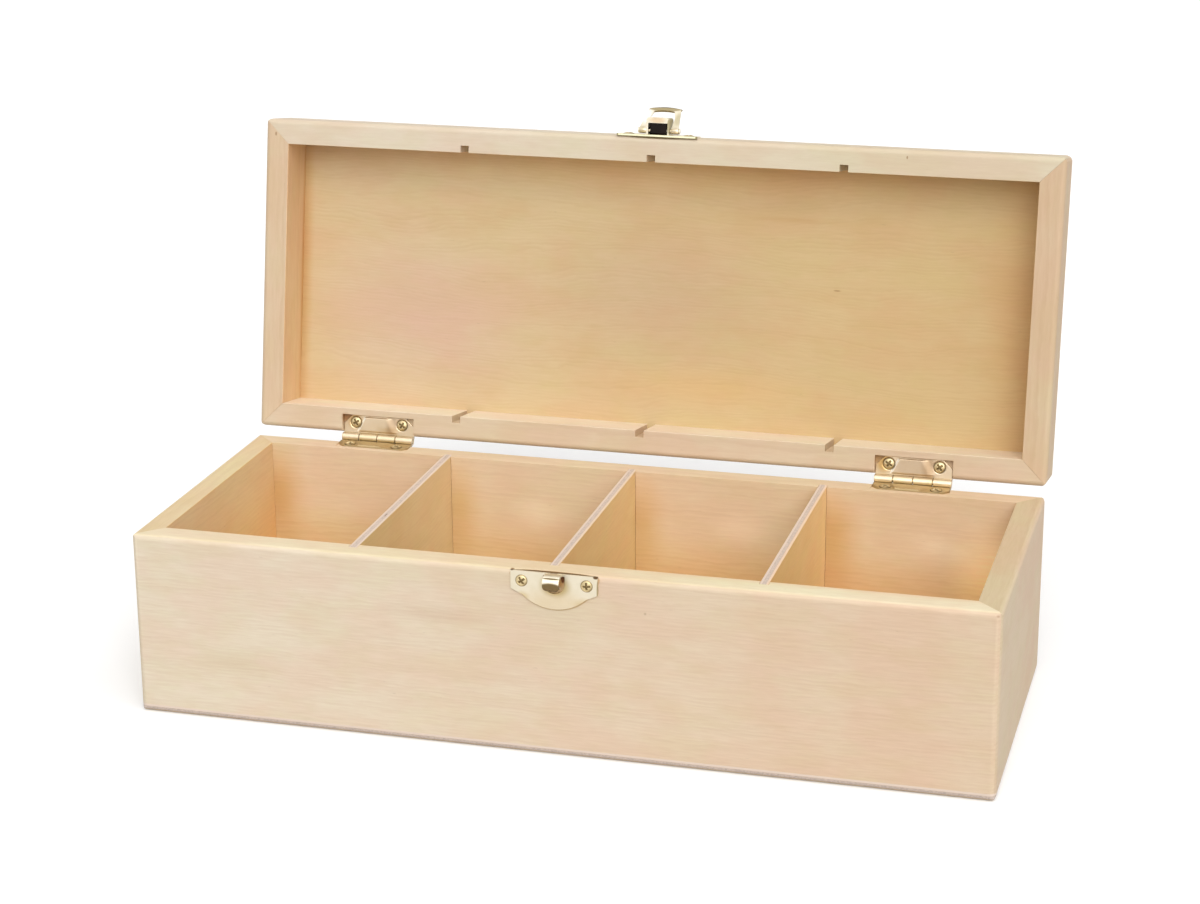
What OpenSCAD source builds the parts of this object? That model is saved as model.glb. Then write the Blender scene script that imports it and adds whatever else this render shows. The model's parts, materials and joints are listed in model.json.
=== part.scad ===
// Wooden tea bag organizer box with four compartments and a hinged, latched lid.
// X runs along the box, Y from front to back, Z up. The origin is the middle of the
// underside. The lid is drawn closed, then turned back about its hinge pins.

/* [Box] */
// Outside width of the box
box_w = 300; // [240:1:400]
// Outside depth of the box, front to back
box_d = 117; // [90:1:180]
// Height of the base with its bottom panel
base_h = 66; // [45:1:120]
// Thickness of the solid boards of the base and the lid
board_t = 9.2; // [8:0.1:14]
// Thickness of the plywood bottom panel, top panel and dividers
ply_t = 3; // [2.5:0.1:6]
// Radius of the outside corners, bottom edges and top edges
edge_r = 2.5; // [1:0.1:4]
// Radius of the outside edges where base and lid meet
rim_r = 2; // [0.5:0.1:2]

/* [Lid] */
// Height of the lid with its top panel
lid_h = 21.5; // [19:0.5:45]
// Gap between the rims of base and lid when the box is closed
rim_gap = 0.3; // [0.3:0.05:1]
// Angle at which the hinges stop the open lid
open_angle = 100; // [91:1:110]

/* [Dividers] */
// Depth of the grooves in the front and back boards
groove_depth = 2.6; // [1.5:0.1:4]
// Clearance of a divider in its groove, on each side
groove_play = 0.1; // [0.05:0.05:0.3]

/* [Hinges] */
// Length of a hinge along the box
hinge_w = 28; // [24:0.5:40]
// Distance of the middle of a hinge from the outside end of the box
hinge_inset = 47.8; // [30:0.1:70]
// Thickness of a hinge leaf
leaf_t = 0.8; // [0.6:0.05:1]
// How far a leaf reaches over the board from the back of the box
leaf_reach = 6.6; // [6:0.1:7.2]
// Size of the cut on the two far corners of a leaf
leaf_cut = 3.4; // [0:0.1:3.6]
// Diameter of the barrel that the knuckles form
barrel_d = 3.2; // [2.8:0.1:3.8]
// Distance of the hinge pin behind the back of the box
barrel_out = 1.8; // [1.8:0.1:4]
// Height of the hinge pin above the middle of the gap between the rims
barrel_up = 0.9; // [0:0.1:1.1]
// Diameter of the hinge pin
hinge_pin_d = 1.5; // [1:0.1:1.6]
// Length of each outer knuckle
outer_knuckle = 6.6; // [5:0.1:9]
// Gap between neighbouring knuckles
knuckle_gap = 0.3; // [0.3:0.05:0.5]
// Height of the stamped panel in the middle of a leaf
stamp_h = 0.35; // [0.1:0.05:0.4]
// Distance between the two screws of a leaf
hinge_screw_span = 18.4; // [16:0.1:20]
// Distance of the hinge screws from the back of the box
hinge_screw_in = 3.8; // [3.5:0.1:4.2]

/* [Latch] */
// Middle of the latch on the lid, along the box
latch_x = 1.8; // [-6:0.1:6]
// Middle of the strike on the base, along the box
strike_x = 2; // [-6:0.1:6]
// Width of the two D-shaped latch plates
plate_w = 30; // [28:0.5:40]
// Thickness of the latch plates
plate_t = 0.8; // [0.6:0.05:1]
// Length of the straight sides of a latch plate
plate_side = 6.5; // [6:0.1:8]
// Height of a latch plate at its middle
plate_h = 12.7; // [12:0.1:16]
// Radius of the round edge of a latch plate
plate_arc_r = 16; // [15:0.5:20]
// Height of the slanted shoulders under the straight sides
plate_shoulder = 1.8; // [1:0.1:2.5]
// Distance between the two screws of a latch plate
plate_screw_span = 22.4; // [21:0.1:24]
// Distance of the latch plate screws from the rim
plate_screw_in = 3.5; // [3:0.1:5]
// Width of the hook on the strike
hook_w = 5.6; // [4.6:0.1:6]
// Outside radius of the hook's curl
hook_r = 2.75; // [2.3:0.05:2.8]
// Diameter of the latch pin
latch_pin_d = 1.4; // [1.2:0.1:1.5]
// Distance of the latch pin from the face of the lid
latch_pin_out = 2.25; // [2.25:0.05:2.5]
// Distance of the latch pin above the rim of the lid
latch_pin_up = 3.8; // [3.6:0.1:4.2]
// Width of the housing that carries the latch pin
housing_w = 8.6; // [8.2:0.1:9]
// Height of the housing above its plate
housing_h = 6.2; // [5.6:0.1:7]
// Thickness of the loop's sheet
loop_t = 0.8; // [0.6:0.05:1]
// Length from the latch pin to the far edge of the loop's window
loop_window = 10.3; // [10.1:0.1:11]
// Width of the bar at the end of the loop
loop_bar = 1.4; // [1.2:0.1:2]
// Radius of the loop's round end
loop_end_r = 19; // [16:1:30]
// Angle that the loop swings through, from latched to folded back
loop_swing = 142; // [120:1:145]

/* [Screws] */
// Diameter of the screw heads
screw_head_d = 4.2; // [3.6:0.1:4.4]
// Height of the domed screw head above its plate
screw_dome = 0.6; // [0.4:0.05:0.6]
// Diameter of the screw shanks
screw_d = 2; // [1.6:0.1:2.2]
// Length of a screw below its plate
screw_len = 7; // [5:0.1:7.2]

/* [Hidden] */
$fn = 48;

// Small overshoot that lets a cut pass clear through a face
over = 1;
// Radial clearance of a pin that turns, of a pin that is fixed, and round a screw
turn_play = 0.05;
fixed_play = 0.01;
screw_play = 0.02;

// Levels of the closed box
lid_z = base_h + rim_gap;
top_z = lid_z + lid_h;
board_low = ply_t;
board_high = top_z - ply_t;

// Hinge axis, behind the box and a little above the gap between the two rims
axis_y = box_d / 2 + barrel_out;
axis_z = base_h + rim_gap / 2 + barrel_up;
barrel_r = barrel_d / 2;
hinge_x = box_w / 2 - hinge_inset;
leaf_play = 0.2;
// A leaf is tangent to the barrel, and its mortise is as deep as that brings it: the
// higher the pin, the deeper the leaf is let into the lid
base_mortise = barrel_r - rim_gap / 2 - barrel_up;
lid_mortise = barrel_r - rim_gap / 2 + barrel_up;
inner_knuckle = (hinge_w - 2 * outer_knuckle - 3 * knuckle_gap) / 2;
// A leaf keeps this far from the axis beside a knuckle of the other leaf
knuckle_play = 0.35;
knuckle_clear = barrel_r + knuckle_play;
// Stamped panel of a leaf: its inset from the leaf's two edges, and its taper
stamp_w = hinge_w - 2 * outer_knuckle;
stamp_inset = 0.4;
stamp_taper = 1.6;

// Grooves of the dividers: four equal compartments
inside_w = box_w - 2 * board_t;
inside_d = box_d - 2 * board_t;
compartment_w = (inside_w - 3 * ply_t) / 4;
divider_pitch = compartment_w + ply_t;
groove_w = ply_t + 2 * groove_play;

// Latch plates and housing
housing_wall = 0.6;
housing_low = 1.2;
housing_high = 7.6;
housing_r = 1;
housing_foot_r = 0.1;
housing_window_w = 7.2;
housing_window_h = 4.2;
eye_r = 1.15;
eye_gap = 0.4;
eye_len = 2.6;
pin_head_r = 1.05;
pin_head_t = 0.4;
pin_end_gap = 0.1;
pin_len = housing_w + 2 * (eye_gap + eye_len + pin_end_gap);
// Loop outline: half widths at the pin and at the end, and where the taper starts
loop_root_half = housing_w / 2 + eye_gap + eye_len;
loop_end_half = 5.9;
window_root_half = housing_w / 2 + eye_gap;
window_end_half = 3.7;
window_straight = 6.2;
loop_len = loop_window + loop_bar;
lip_r = 0.5;
lip_angle = 75;
// Spring strip inside the housing, set back from the housing's window, clear of its roof
spring_t = 0.3;
spring_w = 6;
spring_play = 0.05;
spring_set_back = 0.5;
spring_corner = 0.5;
// The hook is a tongue bent out of the strike plate, with rounded corners at its tip
hook_top = 0.1;
hook_reach = 1.7;
hook_centre_out = plate_t + hook_reach;
hook_end_angle = 30;
hook_tip_r = 2.2;
hook_root_r = 0.05;
hook_low = hook_top + 2 * hook_r;
// The hole that the tongue leaves is wider than the tongue by its play on each side
tongue_hole_top = 0.9;
tongue_hole_end = 7.2;
tongue_hole_play = 0.9;

// Screws: head, pointed tip, crossed slot, and the room below the tip
screw_head_r = screw_head_d / 2;
screw_tip_len = 1.4;
screw_tip_r = 0.15;
slot_w = 0.55;
slot_len = 2.5;
slot_depth = 0.55;
pilot_spare = 0.2;

// ---------------------------------------------------------------- shared shapes

// A rectangle, centred on x, with its own radius at the low and the high corners
module soft_rect(w, low, high, r_low, r_high) {
    mid = (low + high) / 2;
    translate([-w / 2, low + r_low]) square([w, high - low - r_low - r_high]);
    translate([-w / 2 + r_low, low]) square([w - 2 * r_low, mid - low]);
    translate([-w / 2 + r_high, mid]) square([w - 2 * r_high, high - mid]);
    for (side = [-1, 1]) {
        translate([side * (w / 2 - r_low), low + r_low]) circle(r = r_low);
        translate([side * (w / 2 - r_high), high - r_high]) circle(r = r_high);
    }
}

// Extrudes a profile drawn in (Y, Z) along X, centred on x = 0
module along_x(length) {
    rotate([90, 0, 90]) linear_extrude(height = length, center = true) children();
}

// A block of the box's outside size with every outside edge rounded
module soft_block(low, high, r_low, r_high) {
    intersection() {
        translate([0, 0, low]) linear_extrude(height = high - low)
            soft_rect(box_w, -box_d / 2, box_d / 2, edge_r, edge_r);
        along_x(box_w) soft_rect(box_d, low, high, r_low, r_high);
        rotate([90, 0, 0]) linear_extrude(height = box_d, center = true)
            soft_rect(box_w, low, high, r_low, r_high);
    }
}

module base_block() {
    soft_block(0, base_h, edge_r, rim_r);
}

module lid_block() {
    soft_block(lid_z, top_z, rim_r, edge_r);
}

// Prism that a front board fills, with its ends mitred
module front_prism(low, high) {
    x_out = box_w / 2;
    y_out = box_d / 2;
    translate([0, 0, low]) linear_extrude(height = high - low)
        polygon([
            [-x_out, -y_out], [x_out, -y_out],
            [x_out - board_t, -y_out + board_t], [-x_out + board_t, -y_out + board_t]
        ]);
}

// Prism that a right-hand board fills, with its ends mitred
module side_prism(low, high) {
    x_out = box_w / 2;
    y_out = box_d / 2;
    translate([0, 0, low]) linear_extrude(height = high - low)
        polygon([
            [x_out, -y_out], [x_out, y_out],
            [x_out - board_t, y_out - board_t], [x_out - board_t, -y_out + board_t]
        ]);
}

// The three grooves that run up the inside of the front and back boards
module divider_grooves() {
    for (k = [-1, 0, 1])
        translate([k * divider_pitch - groove_w / 2, -inside_d / 2 - groove_depth, 0])
            cube([groove_w, inside_d + 2 * groove_depth, top_z]);
}

// Recess for both leaves of one hinge, open at the back
module mortise(side) {
    low = base_h - base_mortise;
    high = lid_z + lid_mortise;
    length = hinge_w + 2 * leaf_play;
    reach = leaf_reach + leaf_play;
    translate([side * hinge_x - length / 2, box_d / 2 - reach, low])
        cube([length, reach + over, high - low]);
}

// Turns what is drawn on the closed lid to the open position about the hinge pins
module open_lid() {
    translate([0, axis_y, axis_z]) rotate([-open_angle, 0, 0])
        translate([0, -axis_y, -axis_z]) children();
}

// ---------------------------------------------------------------- screws

// Oval-head wood screw. z = 0 is the surface that its plate lies on.
module screw(plate) {
    dome_r = (screw_head_r * screw_head_r + screw_dome * screw_dome) / (2 * screw_dome);
    neck_r = screw_head_r - plate;
    difference() {
        union() {
            cylinder(h = plate, r1 = neck_r, r2 = screw_head_r);
            intersection() {
                translate([0, 0, plate + screw_dome - dome_r]) sphere(r = dome_r);
                translate([0, 0, plate]) cylinder(h = screw_dome + over, r = screw_head_r);
            }
            translate([0, 0, screw_tip_len - screw_len])
                cylinder(h = screw_len - screw_tip_len, r = screw_d / 2);
            translate([0, 0, -screw_len])
                cylinder(h = screw_tip_len, r1 = screw_tip_r, r2 = screw_d / 2);
        }
        for (turn = [45, 135])
            rotate([0, 0, turn])
                translate([-slot_len / 2, -slot_w / 2, plate + screw_dome - slot_depth])
                    cube([slot_len, slot_w, over]);
    }
}

// Countersunk hole in a plate for one screw
module countersink(plate) {
    translate([0, 0, -over]) cylinder(h = 2 * over, r = screw_head_r - plate + screw_play);
    cylinder(h = plate, r1 = screw_head_r - plate + screw_play, r2 = screw_head_r + screw_play);
    translate([0, 0, plate]) cylinder(h = over, r = screw_head_r + screw_play);
}

// Pilot hole in the wood for one screw
module pilot() {
    translate([0, 0, -screw_len - pilot_spare])
        cylinder(h = screw_len + over, r = screw_d / 2 + screw_play);
}

// Places children at the two screws of the base leaf of one hinge, pointing up
module at_base_leaf_screws(side) {
    for (s = [-1, 1])
        translate([
            side * hinge_x + s * hinge_screw_span / 2,
            box_d / 2 - hinge_screw_in,
            base_h - base_mortise
        ]) children();
}

// Places children at the two screws of the lid leaf of one hinge, pointing down
module at_lid_leaf_screws(side) {
    for (s = [-1, 1])
        translate([
            side * hinge_x + s * hinge_screw_span / 2,
            box_d / 2 - hinge_screw_in,
            lid_z + lid_mortise
        ]) rotate([180, 0, 0]) children();
}

// Places children at the two screws of a latch plate, pointing forwards
module at_plate_screws(middle, z) {
    for (s = [-1, 1])
        translate([middle + s * plate_screw_span / 2, -box_d / 2, z])
            rotate([90, 0, 0]) children();
}

module at_strike_screws() {
    at_plate_screws(strike_x, base_h - plate_screw_in) children();
}

module at_latch_screws() {
    at_plate_screws(latch_x, lid_z + plate_screw_in) children();
}

// ---------------------------------------------------------------- base

module base_front_wall() {
    color("#e8cba8") difference() {
        intersection() {
            base_block();
            front_prism(board_low, base_h);
        }
        divider_grooves();
        at_strike_screws() pilot();
    }
}

module base_back_wall() {
    color("#e6c8a2") difference() {
        intersection() {
            base_block();
            mirror([0, 1, 0]) front_prism(board_low, base_h);
        }
        divider_grooves();
        for (side = [-1, 1]) {
            mortise(side);
            at_base_leaf_screws(side) pilot();
        }
    }
}

module base_right_wall() {
    color("#dcbd95") intersection() {
        base_block();
        side_prism(board_low, base_h);
    }
}

module base_left_wall() {
    color("#dcbd95") intersection() {
        base_block();
        mirror([1, 0, 0]) side_prism(board_low, base_h);
    }
}

module bottom_panel() {
    color("#d5bb98") intersection() {
        base_block();
        translate([-box_w / 2, -box_d / 2, 0]) cube([box_w, box_d, ply_t]);
    }
}

// A divider stands on the bottom panel and slides down in two grooves
module divider(k) {
    length = inside_d + 2 * (groove_depth - groove_play);
    color("#dbb78a")
        translate([k * divider_pitch - ply_t / 2, -length / 2, ply_t])
            cube([ply_t, length, base_h - ply_t]);
}

// ---------------------------------------------------------------- lid

module lid_front_rail() {
    color("#e9cda6") open_lid() difference() {
        intersection() {
            lid_block();
            front_prism(lid_z, board_high);
        }
        divider_grooves();
        at_latch_screws() pilot();
    }
}

module lid_back_rail() {
    color("#e9cda6") open_lid() difference() {
        intersection() {
            lid_block();
            mirror([0, 1, 0]) front_prism(lid_z, board_high);
        }
        divider_grooves();
        for (side = [-1, 1]) {
            mortise(side);
            at_lid_leaf_screws(side) pilot();
        }
    }
}

module lid_right_rail() {
    color("#e4c79e") open_lid() intersection() {
        lid_block();
        side_prism(lid_z, board_high);
    }
}

module lid_left_rail() {
    color("#e4c79e") open_lid() intersection() {
        lid_block();
        mirror([1, 0, 0]) side_prism(lid_z, board_high);
    }
}

module lid_top_panel() {
    color("#dcb684") open_lid() intersection() {
        lid_block();
        translate([-box_w / 2, -box_d / 2, board_high]) cube([box_w, box_d, ply_t]);
    }
}

// ---------------------------------------------------------------- hinges

// Outline of a leaf in (x, distance from the pin), with its two far corners cut
module leaf_outline() {
    far = barrel_out + leaf_reach;
    polygon([
        [-hinge_w / 2, 0], [hinge_w / 2, 0],
        [hinge_w / 2, far - leaf_cut], [hinge_w / 2 - leaf_cut, far],
        [-hinge_w / 2 + leaf_cut, far], [-hinge_w / 2, far - leaf_cut]
    ]);
}

// Ranges of x that belong to the outer knuckles and to the inner knuckles
outer_starts = [-hinge_w / 2, hinge_w / 2 - outer_knuckle];
inner_starts = [-inner_knuckle - knuckle_gap / 2, knuckle_gap / 2];

// A leaf lying flat, tangent to the barrel below the pin. The pin is on the X axis
// and the leaf runs towards -Y. starts and length give the knuckles that it has.
module leaf(starts, length, bore_r) {
    stamp_near = knuckle_clear + stamp_inset;
    stamp_far = barrel_out + leaf_reach - stamp_inset;
    difference() {
        union() {
            difference() {
                translate([0, 0, -barrel_r]) linear_extrude(height = leaf_t)
                    mirror([0, 1]) leaf_outline();
                translate([-hinge_w, -knuckle_clear, -2 * barrel_r])
                    cube([2 * hinge_w, 2 * knuckle_clear, 4 * barrel_r]);
            }
            for (x = starts) {
                translate([x, -knuckle_clear - over, -barrel_r])
                    cube([length, knuckle_clear + over, leaf_t]);
                translate([x, 0, 0]) rotate([0, 90, 0]) cylinder(h = length, r = barrel_r);
            }
            // Stamped panel, narrower at its far edge
            translate([0, 0, -barrel_r + leaf_t]) linear_extrude(height = stamp_h)
                polygon([
                    [-stamp_w / 2, -stamp_near], [stamp_w / 2, -stamp_near],
                    [stamp_w / 2 - stamp_taper, -stamp_far],
                    [-stamp_w / 2 + stamp_taper, -stamp_far]
                ]);
        }
        rotate([0, 90, 0]) cylinder(h = 2 * hinge_w, r = bore_r, center = true);
    }
}

// The base leaf carries the two inner knuckles, and the pin is fixed in them
module hinge_base_leaf(side) {
    color("#d9b45c") difference() {
        translate([side * hinge_x, axis_y, axis_z])
            leaf(inner_starts, inner_knuckle, hinge_pin_d / 2 + fixed_play);
        at_base_leaf_screws(side) countersink(leaf_t);
    }
}

// The lid leaf carries the two outer knuckles, which turn on the pin
module hinge_lid_leaf(side) {
    color("#d9b45c") open_lid() difference() {
        translate([side * hinge_x, axis_y, axis_z]) mirror([0, 0, 1])
            leaf(outer_starts, outer_knuckle, hinge_pin_d / 2 + turn_play);
        at_lid_leaf_screws(side) countersink(leaf_t);
    }
}

module hinge_pin(side) {
    color("#c9a24a") translate([side * hinge_x, axis_y, axis_z]) rotate([0, 90, 0])
        cylinder(h = hinge_w, r = hinge_pin_d / 2, center = true);
}

module hinge_base_screws(side) {
    color("#c8a555") at_base_leaf_screws(side) screw(leaf_t);
}

module hinge_lid_screws(side) {
    color("#c8a555") open_lid() at_lid_leaf_screws(side) screw(leaf_t);
}

// ---------------------------------------------------------------- strike

// D shape in (x, distance from the rim): straight sides, shoulders and a round edge
module plate_outline() {
    arc_y = plate_h - plate_arc_r;
    shoulder_y = plate_side + plate_shoulder;
    shoulder_x = sqrt(plate_arc_r * plate_arc_r - (shoulder_y - arc_y) * (shoulder_y - arc_y));
    polygon([
        [-plate_w / 2, 0], [plate_w / 2, 0], [plate_w / 2, plate_side],
        [shoulder_x, shoulder_y], [-shoulder_x, shoulder_y], [-plate_w / 2, plate_side]
    ]);
    intersection() {
        translate([0, arc_y]) circle(r = plate_arc_r);
        translate([-shoulder_x, plate_side]) square([2 * shoulder_x, plate_h]);
    }
}

// A latch plate standing on the face y = 0, its straight edge at z = 0, its D above
module latch_sheet() {
    rotate([90, 0, 0]) linear_extrude(height = plate_t) plate_outline();
}

// Profile of the hook in (distance from the face, height below the rim)
module hook_profile() {
    centre_down = hook_top + hook_r;
    inner_r = hook_r - plate_t;
    translate([plate_t / 2, -hook_top - plate_t])
        square([hook_centre_out - plate_t / 2, plate_t]);
    translate([hook_centre_out, -centre_down]) difference() {
        circle(r = hook_r);
        circle(r = inner_r);
        // Leaves the outer half and the curl of the tip back under it
        polygon([
            [0, 0], [0, 2 * hook_r], [-2 * hook_r, 2 * hook_r], [-2 * hook_r, -2 * hook_r],
            [-2 * hook_r * tan(hook_end_angle), -2 * hook_r]
        ]);
    }
}

// Outline of the hole in the strike plate in (x, height above the rim)
module tongue_hole() {
    half = hook_w / 2 + tongue_hole_play;
    round_y = tongue_hole_end - half;
    translate([-half, -round_y]) square([2 * half, round_y - tongue_hole_top]);
    translate([0, -round_y]) circle(r = half);
}

module strike_plate() {
    color("#e0c887") translate([strike_x, 0, base_h]) {
        difference() {
            translate([0, -box_d / 2, 0]) mirror([0, 0, 1]) latch_sheet();
            // Hole that the tongue of the hook was cut and bent out of
            translate([0, -box_d / 2 + over, 0]) rotate([90, 0, 0])
                linear_extrude(height = plate_t + 2 * over) tongue_hole();
            translate([-strike_x, 0, -base_h]) at_strike_screws() countersink(plate_t);
        }
        translate([0, -box_d / 2, 0]) intersection() {
            along_x(hook_w) mirror([1, 0]) hook_profile();
            rotate([90, 0, 0]) linear_extrude(height = hook_centre_out + 2 * hook_r)
                soft_rect(hook_w, -hook_low, 0, hook_tip_r, hook_root_r);
        }
    }
}

module strike_screws() {
    color("#cbab5e") at_strike_screws() screw(plate_t);
}

// ---------------------------------------------------------------- latch

// Section of the housing in (x, distance from the face), open towards the plate
module housing_section(inset) {
    half = housing_w / 2 - inset;
    top = plate_t + housing_h - inset;
    soft_rect(2 * half, plate_t / 2, top, housing_foot_r, housing_r - inset / 2);
}

// Housing on the latch plate, hollow, with a window towards the rim
module housing_shell() {
    difference() {
        translate([0, 0, housing_low]) mirror([0, 1, 0])
            linear_extrude(height = housing_high - housing_low) housing_section(0);
        intersection() {
            translate([0, 0, housing_low + housing_wall]) mirror([0, 1, 0])
                linear_extrude(height = housing_high - housing_low - 2 * housing_wall)
                    housing_section(housing_wall);
            translate([-housing_w, -plate_t - housing_h, 0])
                cube([2 * housing_w, housing_h, 2 * housing_high]);
        }
        translate([-housing_window_w / 2, -plate_t - housing_window_h, housing_low - over])
            cube([housing_window_w, housing_window_h, housing_wall + 2 * over]);
    }
}

// Places children at the latch pin of the closed lid
module at_latch_pin() {
    translate([latch_x, -box_d / 2 - latch_pin_out, lid_z + latch_pin_up]) children();
}

module latch_plate() {
    color("#dcc07a") open_lid() difference() {
        translate([latch_x, -box_d / 2, lid_z]) {
            latch_sheet();
            housing_shell();
        }
        at_latch_pin() rotate([0, 90, 0])
            cylinder(h = housing_w + 2 * over, r = latch_pin_d / 2 + turn_play, center = true);
        at_latch_screws() countersink(plate_t);
    }
}

// A strip of the given thickness that follows points, with round joints
module strip(points, thickness) {
    for (i = [0 : len(points) - 2]) {
        run = points[i + 1] - points[i];
        translate(points[i]) rotate([0, 0, atan2(run[1], run[0])])
            translate([0, -thickness / 2]) square([norm(run), thickness]);
    }
    for (p = points) translate(p) circle(d = thickness);
}

// Blued spring strip: it stands in the window and its end bears on the pin
module latch_spring() {
    half = spring_t / 2;
    floor_out = plate_t + half;
    roof_out = plate_t + housing_h - housing_wall - half - spring_play;
    front_up = housing_low + housing_wall + spring_set_back;
    back_up = housing_high - housing_wall - half;
    bear_out = latch_pin_out + latch_pin_d / 2 + turn_play + half;
    color("#23211f") open_lid() translate([latch_x, -box_d / 2, lid_z])
        along_x(spring_w) mirror([1, 0]) strip([
            [floor_out, back_up],
            [floor_out, front_up + spring_corner],
            [floor_out + spring_corner, front_up],
            [roof_out - spring_corner, front_up],
            [roof_out, front_up + spring_corner],
            [roof_out, back_up - spring_corner],
            [roof_out - spring_corner, back_up],
            [bear_out + spring_corner, back_up - spring_corner],
            [bear_out, latch_pin_up - spring_corner]
        ], spring_t);
}

module latch_screws() {
    color("#cbab5e") open_lid() at_latch_screws() screw(plate_t);
}

// Outline of the loop in (x, distance from the pin): two legs and a bar with a round end
module loop_outline() {
    difference() {
        intersection() {
            polygon([
                [-loop_root_half, 0], [loop_root_half, 0],
                [loop_end_half, loop_len], [-loop_end_half, loop_len]
            ]);
            translate([0, loop_len - loop_end_r]) circle(r = loop_end_r);
        }
        intersection() {
            polygon([
                [-window_root_half, -over], [window_root_half, -over],
                [window_root_half, window_straight], [window_end_half, loop_window],
                [-window_end_half, loop_window], [-window_root_half, window_straight]
            ]);
            translate([0, loop_len - loop_end_r]) circle(r = loop_end_r - loop_bar);
        }
    }
}

// Section of the finger lip in (distance from the sheet's end, height above the sheet).
// A tongue half as thick as the sheet runs on inside the sheet and joins the two.
module lip_section() {
    far = 3 * (lip_r + loop_t);
    translate([-loop_bar / 2, -0.75 * loop_t]) square([0.6 * loop_bar, loop_t / 2]);
    translate([0, lip_r]) intersection() {
        difference() {
            circle(r = lip_r + loop_t);
            circle(r = lip_r);
        }
        polygon([[0, 0], [0, -far], [far * sin(lip_angle), -far * cos(lip_angle)]]);
    }
}

// Finger lip that follows the loop's round end and curls away from the box
module finger_lip() {
    half_turn = asin(loop_end_half / loop_end_r);
    translate([0, eye_r - loop_t, loop_end_r - loop_len]) rotate([90, 0, 0])
        rotate([0, 0, 270 - half_turn]) rotate_extrude(angle = 2 * half_turn)
            translate([loop_end_r, 0]) lip_section();
}

// The latched loop: it hangs along -Z from the pin, its sheet next to the strike
module latched_loop() {
    difference() {
        union() {
            translate([0, eye_r, 0]) rotate([90, 0, 0]) linear_extrude(height = loop_t)
                mirror([0, 1]) loop_outline();
            for (s = [-1, 1])
                translate([s * (window_root_half + eye_len / 2), 0, 0]) rotate([0, 90, 0])
                    cylinder(h = eye_len, r = eye_r, center = true);
            finger_lip();
        }
        rotate([0, 90, 0])
            cylinder(h = 4 * loop_root_half, r = latch_pin_d / 2 + fixed_play, center = true);
    }
}

module latch_loop() {
    color("#e3cf96") open_lid() at_latch_pin() rotate([-loop_swing, 0, 0]) latched_loop();
}

module latch_pin() {
    color("#c9a24a") open_lid() at_latch_pin() rotate([0, 90, 0]) {
        cylinder(h = pin_len, r = latch_pin_d / 2, center = true);
        for (s = [-1, 1])
            translate([0, 0, s * (pin_len + pin_head_t) / 2])
                cylinder(h = pin_head_t, r = pin_head_r, center = true);
    }
}

// ---------------------------------------------------------------- nodes

base_front_wall();
base_back_wall();
base_left_wall();
base_right_wall();
bottom_panel();
divider(-1);  // divider_left
divider(0);  // divider_middle
divider(1);  // divider_right
lid_front_rail();
lid_back_rail();
lid_left_rail();
lid_right_rail();
lid_top_panel();
hinge_base_leaf(-1);  // left_hinge_base_leaf
hinge_lid_leaf(-1);  // left_hinge_lid_leaf
hinge_pin(-1);  // left_hinge_pin
hinge_base_screws(-1);  // left_hinge_base_screws
hinge_lid_screws(-1);  // left_hinge_lid_screws
hinge_base_leaf(1);  // right_hinge_base_leaf
hinge_lid_leaf(1);  // right_hinge_lid_leaf
hinge_pin(1);  // right_hinge_pin
hinge_base_screws(1);  // right_hinge_base_screws
hinge_lid_screws(1);  // right_hinge_lid_screws
strike_plate();
strike_screws();
latch_plate();
latch_spring();
latch_screws();
latch_loop();
latch_pin();
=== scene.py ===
"""Looks of the wooden tea bag organizer box: boards, plywood, brass hardware and studio."""

import json
import math

import bmesh
import bpy
import numpy as np
from mathutils import Matrix, Vector


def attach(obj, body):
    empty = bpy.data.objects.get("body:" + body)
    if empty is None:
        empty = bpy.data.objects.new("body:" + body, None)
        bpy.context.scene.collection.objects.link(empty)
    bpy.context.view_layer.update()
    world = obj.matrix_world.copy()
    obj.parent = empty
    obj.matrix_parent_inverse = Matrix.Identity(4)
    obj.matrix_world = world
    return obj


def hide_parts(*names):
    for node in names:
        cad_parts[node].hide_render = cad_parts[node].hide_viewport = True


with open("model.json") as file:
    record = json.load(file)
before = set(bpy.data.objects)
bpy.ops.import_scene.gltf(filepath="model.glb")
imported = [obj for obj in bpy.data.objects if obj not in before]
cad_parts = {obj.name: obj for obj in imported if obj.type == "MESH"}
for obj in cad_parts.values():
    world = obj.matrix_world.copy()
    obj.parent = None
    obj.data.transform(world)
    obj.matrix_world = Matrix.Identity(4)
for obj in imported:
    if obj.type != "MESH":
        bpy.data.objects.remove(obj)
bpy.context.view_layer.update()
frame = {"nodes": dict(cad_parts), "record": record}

# ------------------------------------------------------------------ sizes, in millimetres

MM = 0.001
BOX_W, BOX_D, BASE_H = 300.0, 117.0, 66.0
BOARD_T, PLY_T, LID_TOP = 9.2, 3.0, 87.8
LID_RIM = 66.3
DIVIDER_PITCH = 71.15
HINGE_X, STRIKE_X, PLATE_T = 102.2, 2.0, 0.8
FRONT_Y = -BOX_D / 2
PLATE_Y = FRONT_Y - PLATE_T
BACK_IN_Y = BOX_D / 2 - BOARD_T
PANEL_Z = LID_TOP - PLY_T

# The hinge pins, how far the lid is open and the latch's middle, from the frame's joints
JOINTS = {joint["name"]: joint for joint in frame["record"]["behaviour"]["joints"]}
AXIS_Y, AXIS_Z = (place / MM for place in JOINTS["lid_hinge"]["pos_m"][1:])
OPEN_DEG = float(JOINTS["lid_hinge"]["range_deg"][1])
LATCH_X = JOINTS["latch_hinge"]["pos_m"][0] / MM

LID_BODY_NODES = frame["record"]["behaviour"]["bodies"]["lid"]
BODY_OF = {
    node: body
    for body, nodes in frame["record"]["behaviour"]["bodies"].items()
    for node in nodes
}


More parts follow.
